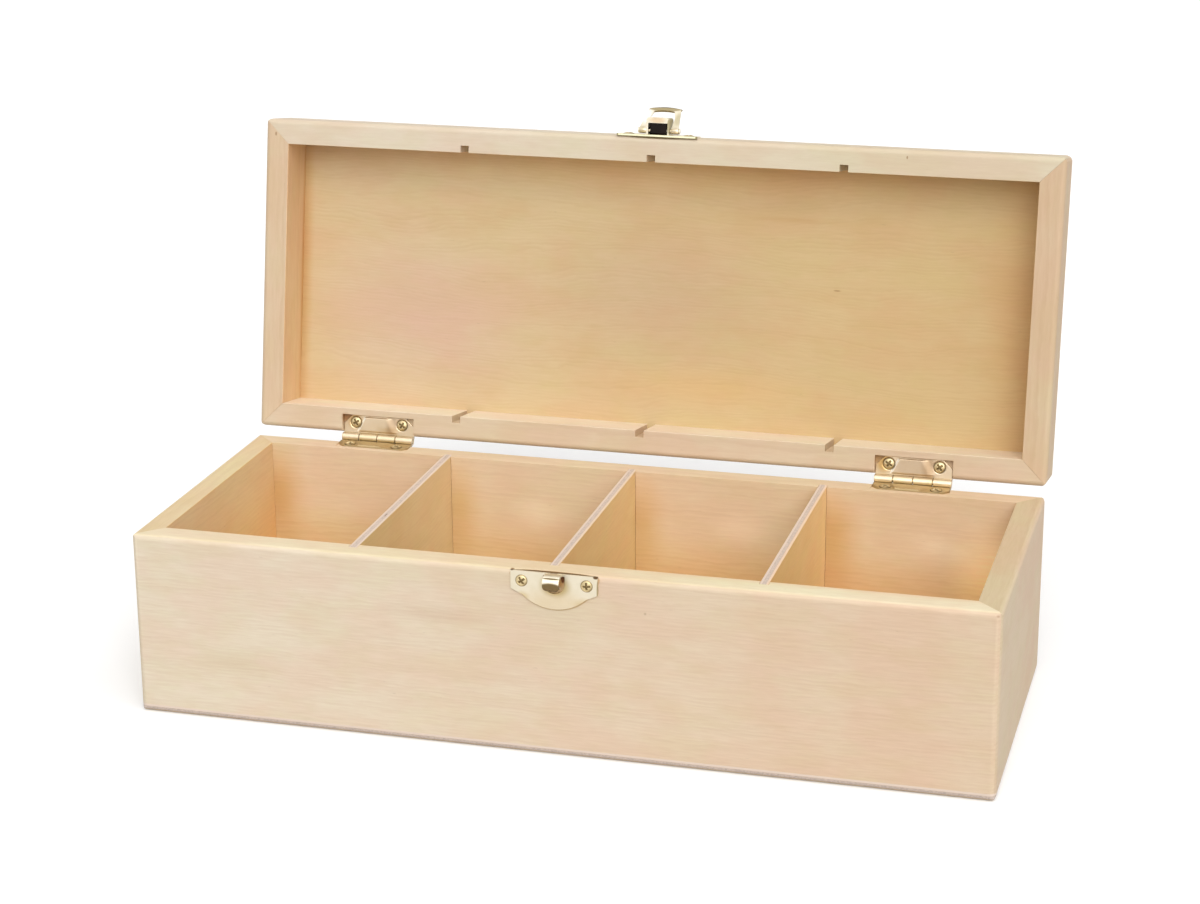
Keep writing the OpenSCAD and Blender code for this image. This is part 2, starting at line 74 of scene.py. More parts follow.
def turn_about_pins(points, degrees):
    """Turns an array of points about the hinge pins, from the opened to the closed side."""
    turn = math.radians(degrees)
    y, z = points[..., 1] - AXIS_Y, points[..., 2] - AXIS_Z
    turned = np.empty_like(points)
    turned[..., 0] = points[..., 0]
    turned[..., 1] = AXIS_Y + y * math.cos(turn) - z * math.sin(turn)
    turned[..., 2] = AXIS_Z + y * math.sin(turn) + z * math.cos(turn)
    return turned


# ------------------------------------------------------------------ node helpers


def put(tree, kind, inputs=None, **settings):
    """Adds one shader node. inputs maps a socket's name or number to a value or a socket."""
    node = tree.nodes.new("ShaderNode" + kind)
    for name, value in settings.items():
        setattr(node, name, value)
    for key, value in (inputs or {}).items():
        socket = node.inputs[key]
        if isinstance(value, bpy.types.NodeSocket):
            tree.links.new(value, socket)
        else:
            socket.default_value = value
    return node


def calc(tree, operation, first, second=0.0, third=0.0):
    """One step of arithmetic on up to three numbers."""
    return put(tree, "Math", {0: first, 1: second, 2: third}, operation=operation).outputs[0]


def vector_calc(tree, operation, first, second):
    """One step of arithmetic on two vectors."""
    node = put(tree, "VectorMath", {0: first, 1: second}, operation=operation)
    return node.outputs["Value" if operation in ("LENGTH", "DISTANCE") else "Vector"]


def fade(tree, value, low, high, to_low=0.0, to_high=1.0):
    """A smooth step from to_low at low to to_high at high."""
    return put(
        tree,
        "MapRange",
        {"Value": value, "From Min": low, "From Max": high, "To Min": to_low, "To Max": to_high},
        interpolation_type="SMOOTHSTEP",
    ).outputs["Result"]


def tint(tree, factor, first, second, blend="MIX"):
    """Mixes two colours by a factor."""
    node = put(tree, "Mix", {0: factor}, data_type="RGBA", blend_type=blend)
    for number, value in ((6, first), (7, second)):
        if isinstance(value, bpy.types.NodeSocket):
            tree.links.new(value, node.inputs[number])
        else:
            node.inputs[number].default_value = (*value, 1.0)
    return node.outputs[2]


def noise(tree, vector, seed, scale=1.0, detail=2.0, rough=0.5):
    """Soft noise from 0 to 1 with a seed as its fourth coordinate."""
    values = {"Vector": vector, "W": seed, "Scale": scale, "Detail": detail, "Roughness": rough}
    return put(tree, "TexNoise", values, noise_dimensions="4D").outputs[0]


def stretch(tree, vector, along, across):
    """Scales a vector along X, the run of the grain, and across it."""
    return vector_calc(tree, "MULTIPLY", vector, (along, across, across))


def new_group(name, inputs, outputs):
    """An empty node group with named inputs, as (kind, start value), and outputs."""
    tree = bpy.data.node_groups.new(name, "ShaderNodeTree")
    for socket, (kind, start) in inputs.items():
        made = tree.interface.new_socket(socket, in_out="INPUT", socket_type="NodeSocket" + kind)
        made.default_value = start
    for socket, kind in outputs.items():
        tree.interface.new_socket(socket, in_out="OUTPUT", socket_type="NodeSocket" + kind)
    given = tree.nodes.new("NodeGroupInput").outputs
    result = tree.nodes.new("NodeGroupOutput").inputs
    return tree, given, result


def use_group(tree, group, inputs):
    """Places a node group in a material and returns its outputs."""
    return put(tree, "Group", inputs, node_tree=group).outputs


# ------------------------------------------------------------------ shared effects

# How fast the figure of wood changes along the grain and across it, per millimetre
ROUND_PITH, FIBRES, DASHES = (0.04, 1.0), (0.11, 1.5), (0.28, 1.9)
LONG_BEND, SHORT_BEND, RIPPLE = (0.008, 0.022), (0.07, 0.2), 3.4
SLOW_DRIFT, SLOW_WARMTH = (0.03, 0.05), (0.05, 0.11)
# The parts of a ring, from 0 to 1, over which it darkens and over which it turns pale again
RING_RISE, RING_FALL = (0.1, 0.75), (0.78, 1.0)


def make_wood_figure():
    """Figure of sawn wood in millimetres, the grain along X. Rings are shells round the
    pith, whose distance is bent by long soft noise; each ring darkens slowly and ends
    sharply. Fibres are noise drawn out along the grain."""
    tree, given, result = new_group(
        "wood_figure",
        {
            "Vector": ("Vector", (0.0, 0.0, 0.0)),
            "Pith": ("Vector", (0.0, 0.0, 60.0)),
            "Ring": ("Float", 2.0),
            "Wave": ("Float", 4.0),
            "Seed": ("Float", 0.0),
        },
        {"Rings": "Float", "Fibre": "Float", "Drift": "Float", "Speck": "Float", "Warm": "Float"},
    )
    place, seed = given["Vector"], given["Seed"]
    offset = vector_calc(tree, "SUBTRACT", place, given["Pith"])
    radius = vector_calc(tree, "LENGTH", stretch(tree, offset, *ROUND_PITH), (0, 0, 0))
    long_bend = noise(tree, stretch(tree, place, *LONG_BEND), seed, detail=2.0)
    short_bend = noise(tree, stretch(tree, place, *SHORT_BEND), seed, detail=3.0, rough=0.6)
    bend = calc(tree, "MULTIPLY", calc(tree, "SUBTRACT", long_bend, 0.5), given["Wave"])
    ripple = calc(tree, "MULTIPLY", calc(tree, "SUBTRACT", short_bend, 0.5), RIPPLE)
    bent = calc(tree, "ADD", radius, calc(tree, "ADD", bend, ripple))
    count = calc(tree, "DIVIDE", bent, given["Ring"])
    part = calc(tree, "FRACT", count)
    rise = fade(tree, part, *RING_RISE)
    fall = fade(tree, part, *RING_FALL, 1.0, 0.0)
    each = put(tree, "TexWhiteNoise", {"W": calc(tree, "FLOOR", count)}, noise_dimensions="1D")
    weight = fade(tree, each.outputs[0], 0.0, 1.0, 0.25, 1.0)
    tree.links.new(
        calc(tree, "MULTIPLY", calc(tree, "MULTIPLY", rise, fall), weight), result["Rings"]
    )
    fine = noise(tree, stretch(tree, place, *FIBRES), seed, detail=4.0, rough=0.65)
    tree.links.new(fade(tree, fine, 0.3, 0.7), result["Fibre"])
    drift = noise(tree, stretch(tree, place, *SLOW_DRIFT), seed, detail=3.0, rough=0.6)
    tree.links.new(fade(tree, drift, 0.38, 0.62), result["Drift"])
    later = calc(tree, "ADD", seed, 7.3)
    warm = noise(tree, stretch(tree, place, *SLOW_WARMTH), later, detail=3.0, rough=0.6)
    tree.links.new(fade(tree, warm, 0.42, 0.64), result["Warm"])
    dash = noise(tree, stretch(tree, place, *DASHES), later, detail=1.0)
    tree.links.new(fade(tree, dash, 0.74, 0.82), result["Speck"])
    return tree


def make_plies():
    """Masks across a three-ply sheet: the core ply between the two glue lines, and the
    thin glue lines themselves, from the depth below one face."""
    tree, given, result = new_group(
        "plies",
        {"Depth": ("Float", 0.0), "Veneer": ("Float", 0.9), "Sheet": ("Float", 3.0)},
        {"Core": "Float", "Glue": "Float"},
    )
    far = calc(tree, "SUBTRACT", given["Sheet"], given["Depth"])
    nearest = calc(tree, "MINIMUM", given["Depth"], far)
    inside = calc(tree, "SUBTRACT", nearest, given["Veneer"])
    tree.links.new(fade(tree, inside, -0.05, 0.05), result["Core"])
    line = calc(tree, "ABSOLUTE", inside)
    tree.links.new(fade(tree, line, 0.03, 0.11, 1.0, 0.0), result["Glue"])
    return tree


# How fast the tarnish, scuffs and pits of plated metal change, per millimetre
TARNISH_CLOUDS, SCUFFS, PITS = 0.16, (0.5, 4.0), 2.4


def make_plating():
    """Worn brass plate in millimetres: cloudy tarnish, and fine scratches that change
    the gloss."""
    tree, given, result = new_group(
        "plating",
        {"Vector": ("Vector", (0.0, 0.0, 0.0)), "Seed": ("Float", 0.0)},
        {"Tarnish": "Float", "Scuff": "Float", "Height": "Float"},
    )
    place, seed = given["Vector"], given["Seed"]
    cloud = noise(tree, place, seed, scale=TARNISH_CLOUDS, detail=4.0, rough=0.55)
    tree.links.new(fade(tree, cloud, 0.3, 0.75), result["Tarnish"])
    later = calc(tree, "ADD", seed, 3.1)
    scuff = noise(tree, stretch(tree, place, *SCUFFS), later, detail=3.0, rough=0.7)
    tree.links.new(fade(tree, scuff, 0.3, 0.75), result["Scuff"])
    pits = noise(tree, place, later, scale=PITS, detail=2.0)
    tree.links.new(pits, result["Height"])
    return tree


def make_soft_spot():
    """1 inside an ellipsoid, falling to 0 at its surface over the share Soft of its size."""
    tree, given, result = new_group(
        "soft_spot",
        {
            "Vector": ("Vector", (0.0, 0.0, 0.0)),
            "Centre": ("Vector", (0.0, 0.0, 0.0)),
            "Size": ("Vector", (1.0, 1.0, 1.0)),
            "Soft": ("Float", 0.3),
        },
        {"Mask": "Float"},
    )
    offset = vector_calc(tree, "SUBTRACT", given["Vector"], given["Centre"])
    share = vector_calc(tree, "DIVIDE", offset, given["Size"])
    reach = vector_calc(tree, "LENGTH", share, (0, 0, 0))
    inner = calc(tree, "SUBTRACT", 1.0, given["Soft"])
    tree.links.new(fade(tree, reach, inner, 1.0, 1.0, 0.0), result["Mask"])
    return tree


WOOD_FIGURE = make_wood_figure()
SOFT_SPOT = make_soft_spot()
PLIES = make_plies()
PLATING = make_plating()

# ------------------------------------------------------------------ materials

# Late wood, blush and cream as shares of a board's own ground colour
LATE_SHIFT = (0.72, 0.57, 0.47)
BLUSH_SHIFT = (0.99, 0.92, 0.915)
CREAM_SHIFT, CREAM_DEPTH = (0.965, 0.985, 0.92), 0.8
SPECK, SPECK_DEPTH = (0.24, 0.15, 0.09), 0.2
WOOD_ROUGH, LATE_SMOOTHER, WOOD_LIFT = 0.62, -0.08, 0.06 * MM
# Plywood: veneer ends on the sawn edge, core ply and its dark pores, glue line
EDGE, CORE, GLUE = (0.72, 0.59, 0.49), (0.67, 0.545, 0.465), (0.46, 0.35, 0.28)
CORE_DARK = tuple(0.72 * channel for channel in CORE)
VENEER_RING_DEPTH = VENEER_FIBRE_DEPTH = 0.14
# Heights at which the painted light and shade of an inner face is full and least, on the base and
# on the lid
BASE_INNER_FADE, LID_INNER_FADE = (24.0, BASE_H), (LID_TOP, 26.0)
INNER_LEAST = 0.35
# Metal: how much the tarnish covers, painted shade in the screws, a painted highlight on a
# crease, blued steel
TARNISH_DEPTH = 0.35
PAINTED_SCREW_SHADE, CREASE_HIGHLIGHT_TINT = (0.21, 0.15, 0.07), (1.0, 0.95, 0.82)
STEEL_BLUE, STEEL_BROWN = (0.006, 0.004, 0.003), (0.02, 0.012, 0.008)


def new_material(name):
    """An empty material and its Principled shader, joined to the output."""
    material = bpy.data.materials.new(name)
    material.use_nodes = True
    tree = material.node_tree
    tree.nodes.clear()
    shader = put(tree, "BsdfPrincipled")
    output = tree.nodes.new("ShaderNodeOutputMaterial")
    tree.links.new(shader.outputs[0], output.inputs[0])
    return material, tree, shader.inputs


def closed_place(tree, on_lid):
    """Object coordinates in millimetres. On the lid they are turned back about the hinge
    pins, so that a pattern lies on the closed lid as it does on the boards."""
    place = put(tree, "TexCoord").outputs["Object"]
    turn = math.radians(OPEN_DEG if on_lid else 0.0)
    axis = Vector((0.0, AXIS_Y, AXIS_Z))
    shift = axis - Matrix.Rotation(turn, 3, "X") @ axis
    values = {"Vector": place, "Location": shift, "Rotation": (turn, 0, 0)}
    values["Scale"] = (1 / MM,) * 3
    return put(tree, "Mapping", values).outputs[0]


def along_grain(tree, place, run):
    """Turns closed-box coordinates so that X follows the grain: run is X, Y or Z."""
    turns = {"X": (0, 0, 0), "Y": (0, 0, -math.pi / 2), "Z": (0, math.pi / 2, 0)}
    return put(tree, "Mapping", {"Vector": place, "Rotation": turns[run]}).outputs[0]


def wood_colour(tree, figure, pale, late, blush, ring_depth, fibre_depth):
    """Colour of sawn wood: a pale ground that drifts to blush and cream, darker late wood
    in the rings, fine fibres and a few short specks."""
    ground = tint(tree, figure["Drift"], pale, blush)
    cream = tint(tree, 1.0, ground, CREAM_SHIFT, "MULTIPLY")
    ground = tint(tree, calc(tree, "MULTIPLY", figure["Warm"], CREAM_DEPTH), ground, cream)
    rings = calc(tree, "MULTIPLY", figure["Rings"], ring_depth)
    colour = tint(tree, rings, ground, late)
    fibre = calc(tree, "MULTIPLY", figure["Fibre"], fibre_depth)
    colour = tint(tree, fibre, colour, late)
    speck = calc(tree, "MULTIPLY", figure["Speck"], SPECK_DEPTH)
    return tint(tree, speck, colour, SPECK)


def wood_surface(tree, shader, figure):
    """Gloss and bump of sanded bare wood: late wood is a little harder and smoother."""
    rough = calc(tree, "MULTIPLY_ADD", figure["Rings"], LATE_SMOOTHER, WOOD_ROUGH)
    tree.links.new(rough, shader["Roughness"])
    lift = calc(tree, "MULTIPLY_ADD", figure["Rings"], 0.5, figure["Fibre"])
    bump = put(tree, "Bump", {"Strength": 0.12, "Distance": WOOD_LIFT, "Height": lift})
    tree.links.new(bump.outputs[0], shader["Normal"])
    shader["Specular IOR Level"].default_value = 0.35


def ground_colours(tree, place, run, left, right):
    """Ground, late wood and blush of a board. The ground runs from one colour at the left
    end to another at the right end, or from front to back on an end board."""
    half = BOX_W / 2 if run == "X" else BOX_D / 2
    across = put(tree, "SeparateXYZ", {0: place}).outputs[0 if run == "X" else 1]
    pale = tint(tree, fade(tree, across, -half, half), left, right)
    late = tint(tree, 1.0, pale, LATE_SHIFT, "MULTIPLY")
    return pale, late, tint(tree, 1.0, pale, BLUSH_SHIFT, "MULTIPLY")


def paint_inner_light(tree, place, run, colour, inner, low, high):
    """Paints light and shade on the inner face of a board: multiplies it by the tint inner, most
    at the height low and least at the height high."""
    parts = put(tree, "SeparateXYZ", {0: place}).outputs
    size = BOX_D if run == "X" else BOX_W
    depth = calc(tree, "ABSOLUTE", parts[1 if run == "X" else 0])
    face = size / 2 - BOARD_T
    mask = calc(
        tree,
        "MULTIPLY",
        fade(tree, depth, face + 0.05, face + 0.3, 1.0, 0.0),
        fade(tree, parts[2], low, high, 1.0, INNER_LEAST),
    )
    return tint(tree, mask, colour, tint(tree, 1.0, colour, inner, "MULTIPLY"))


def paint_marks_and_light(tree, place, colour, marks):
    """Multiplies the colour inside soft ellipsoids, for marks and for painted light and shade. A
    mark is its tint, centre, half sizes and softness, in millimetres of the closed box."""
    for factor, centre, size, soft in marks:
        values = {"Vector": place, "Centre": centre, "Size": size, "Soft": soft}
        mask = use_group(tree, SOFT_SPOT, values)["Mask"]
        colour = tint(tree, mask, colour, tint(tree, 1.0, colour, factor, "MULTIPLY"))
    return colour


def paint_rim_light(tree, place, colour, factor, node):
    """Multiplies the rim of a board, the face along the cut between base and lid: painted light
    and shade, and a yellower tone.
    """
    height = put(tree, "SeparateXYZ", {0: place}).outputs[2]
    edge = LID_RIM if node in LID_BODY_NODES else BASE_H
    away = calc(tree, "ABSOLUTE", calc(tree, "SUBTRACT", height, edge))
    mask = fade(tree, away, 0.25, 0.6, 1.0, 0.0)
    return tint(tree, mask, colour, tint(tree, 1.0, colour, factor, "MULTIPLY"))


# Tints of the faces along the cut between base and lid: painted light on the front one, painted
# shade on the right one, and a yellower tone on all three
RIM_PAINTED_LIGHT = {
    "base_front_wall": (1.06, 1.07, 0.97),
    "base_right_wall": (0.96, 0.97, 0.91),
    "base_left_wall": (1.0, 1.0, 0.92),
}
# Marks on wood, most of them painted light and shade: tint, centre, half sizes, softness
WOOD_MARKS_AND_LIGHT = {
    "base_front_wall": (
        # shade round the strike plate, in and beside its hook, along its top edge and corner
        ((0.80, 0.68, 0.50), (STRIKE_X, FRONT_Y, 68.8), (16.35, 1.5, 16.35), 0.03),
        ((0.98, 0.78, 0.56), (4.1, -58.3, 63.4), (1.6, 1.5, 3.0), 0.5),
        ((0.25, 0.15, 0.08), (4.9, -58.3, 64.1), (0.8, 1.2, 1.9), 0.4),
        ((0.26, 0.21, 0.15), (STRIKE_X, -57.7, 65.7), (15.3, 0.75, 0.5), 0.4),
        ((0.45, 0.36, 0.27), (-12.7, -57.6, 65.8), (0.9, 0.7, 0.6), 0.6),
        # a speck, the pale right half of the rim, a dark spot at the top of the corner and two
        # dull streaks
        ((0.72, 0.66, 0.62), (32.9, FRONT_Y, 54.4), (0.7, 1.0, 0.7), 1.0),
        ((1.07, 1.22, 1.34), (120, -54.5, BASE_H), (130, 7, 0.8), 0.8),
        ((0.76, 0.68, 0.64), (148.4, FRONT_Y, 64.8), (0.9, 1.0, 0.6), 0.8),
        ((0.93, 0.88, 0.86), (-40, FRONT_Y, 47), (26, 2.0, 4.5), 1.0),
        ((0.95, 0.90, 0.88), (-112, FRONT_Y, 22), (22, 2.0, 6.0), 1.0),
    ),
    "base_back_wall": (
        # painted light in three compartments, painted warm shade low down, and painted light at
        # the right end
        ((1.10, 1.12, 1.16), (-35, BACK_IN_Y, 47), (16, 1.5, 10), 1.0),
        ((1.10, 1.12, 1.16), (41, BACK_IN_Y, 47), (15, 1.5, 9), 1.0),
        ((1.10, 1.12, 1.16), (112, BACK_IN_Y, 47), (15, 1.5, 9), 1.0),
        ((1.03, 0.92, 0.72), (0, BACK_IN_Y, 26), (400, 1.5, 22), 1.0),
        ((1.5, 1.5, 1.35), (134, BACK_IN_Y, 38), (20, 1.5, 26), 1.0),
        # warm shade to the right of the left wall and of each divider
        ((0.86, 0.72, 0.48), (-139, BACK_IN_Y, 46), (14, 1.5, 28), 1.0),
        ((0.90, 0.80, 0.60), (-67, BACK_IN_Y, 46), (12, 1.5, 26), 1.0),
        ((0.90, 0.80, 0.60), (4, BACK_IN_Y, 46), (12, 1.5, 26), 1.0),
        ((0.86, 0.72, 0.48), (75, BACK_IN_Y, 46), (14, 1.5, 26), 1.0),
    ),
    "lid_front_rail": (
        # a speck, and shade along the latch plate
        ((0.6, 0.5, 0.42), (93.7, -55.6, LID_RIM), (0.4, 0.8, 1.0), 0.6),
        ((0.45, 0.40, 0.28), (LATCH_X, -58.2, 66.4), (15.4, 0.5, 1.2), 0.3),
    ),
    "lid_left_rail": (
        # a speck, and warm shade along the panel
        ((0.6, 0.5, 0.42), (-145.9, -52.9, LID_RIM), (0.5, 1.0, 1.0), 0.6),
        ((0.86, 0.68, 0.48), (-140.8, 0, 84.5), (1.2, 90, 2.6), 0.9),
    ),
    "lid_back_rail": (
        # shade in the left corner of each hinge mortise
        ((0.62, 0.42, 0.26), (-115.0, 53.0, 68.0), (3.4, 3.4, 2.6), 0.5),
        ((0.80, 0.66, 0.45), (89.4, 53.0, 68.0), (2.6, 3.2, 2.6), 0.5),
    ),
    "lid_top_panel": (
        # painted light along the front rail, painted warm shade at the right and left ends, a
        # cool patch, a dull middle
        ((1.34, 1.22, 1.10), (0, -50, PANEL_Z), (200, 17, 5), 1.0),
        ((0.98, 0.88, 0.78), (140.8, 0, PANEL_Z), (24, 120, 5), 1.0),
        ((0.92, 0.76, 0.55), (-140.8, 0, PANEL_Z), (5, 120, 5), 1.0),
        ((1.03, 0.98, 1.22), (-90, 15, PANEL_Z), (60, 45, 5), 1.0),
        ((0.93, 0.90, 0.97), (0, 0, PANEL_Z), (70, 35, 5), 1.0),
        # a fleck, a faint brown streak and a broad warm one
        ((0.68, 0.58, 0.48), (67.8, -5.1, PANEL_Z), (1.7, 0.35, 1), 0.6),
        ((0.95, 0.90, 0.85), (50, -30, PANEL_Z), (26, 1.6, 1), 1.0),
        ((1.04, 0.95, 0.86), (20, 34, PANEL_Z), (60, 12, 5), 1.0),
    ),
    # a fleck on the top edge; painted warm light on the right faces, the last one with painted
    # light at the back
    "divider_left": (((0.5, 0.4, 0.35), (-71.2, -18.2, BASE_H), (0.3, 2.2, 0.8), 0.6),),
    "divider_middle": (((1.04, 1.0, 0.90), (1.6, 0, 30), (1.5, 110, 80), 0.4),),
    "divider_right": (
        ((1.10, 1.0, 0.86), (72.7, 0, 30), (1.5, 110, 80), 0.4),
        ((1.12, 1.16, 1.30), (72.7, 50, 30), (1.5, 14, 60), 1.0),
    ),
}


def board_wood(name, node, run, pith, ring, wave, seed, left, right, inner,
               ring_depth=0.17, fibre_depth=0.17):
    """Sanded softwood board, with painted light and shade on its inner face."""
    material, tree, shader = new_material(name)
    place = closed_place(tree, node in LID_BODY_NODES)
    grain = along_grain(tree, place, run)
    values = {"Vector": grain, "Pith": pith, "Ring": ring, "Wave": wave, "Seed": seed}
    figure = use_group(tree, WOOD_FIGURE, values)
    pale, late, blush = ground_colours(tree, place, run, left, right)
    colour = wood_colour(tree, figure, pale, late, blush, ring_depth, fibre_depth)
    # painted light and shade on the inner face, fading with height
    low, high = LID_INNER_FADE if node in LID_BODY_NODES else BASE_INNER_FADE
    colour = paint_inner_light(tree, place, run, colour, inner, low, high)
    # painted light and shade on the rim
    if node in RIM_PAINTED_LIGHT:
        colour = paint_rim_light(tree, place, colour, RIM_PAINTED_LIGHT[node], node)
    colour = paint_marks_and_light(tree, place, colour, WOOD_MARKS_AND_LIGHT.get(node, ()))
    tree.links.new(colour, shader["Base Color"])
    wood_surface(tree, shader, figure)
    return material


def plywood(name, node, run, sheet_axis, sheet_low, pith, ring, wave, seed, left, right):
    """Plywood: face veneer with its figure, and on the sawn edges paler veneer ends, a core
    ply and glue lines. The sheet starts at sheet_low along sheet_axis."""
    material, tree, shader = new_material(name)
    place = closed_place(tree, node in LID_BODY_NODES)
    grain = along_grain(tree, place, run)
    values = {"Vector": grain, "Pith": pith, "Ring": ring, "Wave": wave, "Seed": seed}
    figure = use_group(tree, WOOD_FIGURE, values)
    pale, late, blush = ground_colours(tree, place, run, left, right)
    parts = put(tree, "SeparateXYZ", {0: place}).outputs
    depth = calc(tree, "SUBTRACT", parts[sheet_axis], sheet_low)
    plies = use_group(tree, PLIES, {"Depth": depth, "Sheet": PLY_T})
    depths = (VENEER_RING_DEPTH, VENEER_FIBRE_DEPTH)
    colour = wood_colour(tree, figure, pale, late, blush, *depths)
    normal = put(tree, "TexCoord").outputs["Normal"]
    if node in LID_BODY_NODES:
        turn = (math.radians(OPEN_DEG), 0, 0)
        normal = put(tree, "Mapping", {"Vector": normal, "Rotation": turn}).outputs[0]
    facing = calc(tree, "ABSOLUTE", put(tree, "SeparateXYZ", {0: normal}).outputs[sheet_axis])
    colour = tint(tree, fade(tree, facing, 0.5, 0.8), EDGE, colour)
    pores = noise(tree, place, seed, scale=1.6, detail=3.0, rough=0.7)
    end_grain = tint(tree, fade(tree, pores, 0.35, 0.7), CORE, CORE_DARK)
    colour = tint(tree, plies["Core"], colour, end_grain)
    broken = fade(tree, noise(tree, place, seed, scale=0.5), 0.3, 0.6, 0.2, 0.8)
    colour = tint(tree, calc(tree, "MULTIPLY", plies["Glue"], broken), colour, GLUE)
    colour = paint_marks_and_light(tree, place, colour, WOOD_MARKS_AND_LIGHT.get(node, ()))
    tree.links.new(colour, shader["Base Color"])
    wood_surface(tree, shader, figure)
    return material


def brass(name, node, clean, tarnished, roughness, seed, detail=None):
    """Brass-plated sheet or wire with soft tarnish, small scuffs and its marks, most of them
    painted light and shade. Where the piece has an attribute detail, the colour detail lies over
    it: painted shade in the recess, round the rim and low on the head of a screw, a painted
    highlight on the crease of a leaf."""
    material, tree, shader = new_material(name)
    place = closed_place(tree, BODY_OF[node] != "base")
    plating = use_group(tree, PLATING, {"Vector": place, "Seed": seed})
    worn = calc(tree, "MULTIPLY", plating["Tarnish"], TARNISH_DEPTH)
    colour = tint(tree, worn, clean, tarnished)
    # the attribute paints shade in a screw's recess and a highlight on a leaf's crease
    if detail:
        mask = put(tree, "Attribute", attribute_name="detail").outputs["Fac"]
        colour = tint(tree, mask, colour, detail)
    colour = paint_marks_and_light(tree, place, colour, METAL_MARKS_AND_LIGHT.get(node, ()))
    tree.links.new(colour, shader["Base Color"])
    rough = calc(tree, "MULTIPLY_ADD", plating["Scuff"], 0.14, roughness)
    tree.links.new(rough, shader["Roughness"])
    values = {"Strength": 0.12, "Distance": 0.05 * MM, "Height": plating["Height"]}
    bump = put(tree, "Bump", values)
    tree.links.new(bump.outputs[0], shader["Normal"])
    shader["Metallic"].default_value = 1.0
    return material


def turned_back(x, y, z):
    """A place on the open lid as it lies on the closed box."""
    return tuple(turn_about_pins(np.array([x, y, z]), OPEN_DEG).tolist())


def base_leaf_light_and_shade(hinge_x):
    """Knuckles lifted out of the leaf's painted shade, and painted shade on the leaf below them.
    """
    return (
        ((1.25, 1.32, 1.6), (hinge_x, AXIS_Y, 67.3), (20, 1.9, 1.9), 0.2),
        ((0.45, 0.34, 0.18), (hinge_x, 59.0, 65.7), (16, 1.0, 0.7), 0.6),
    )


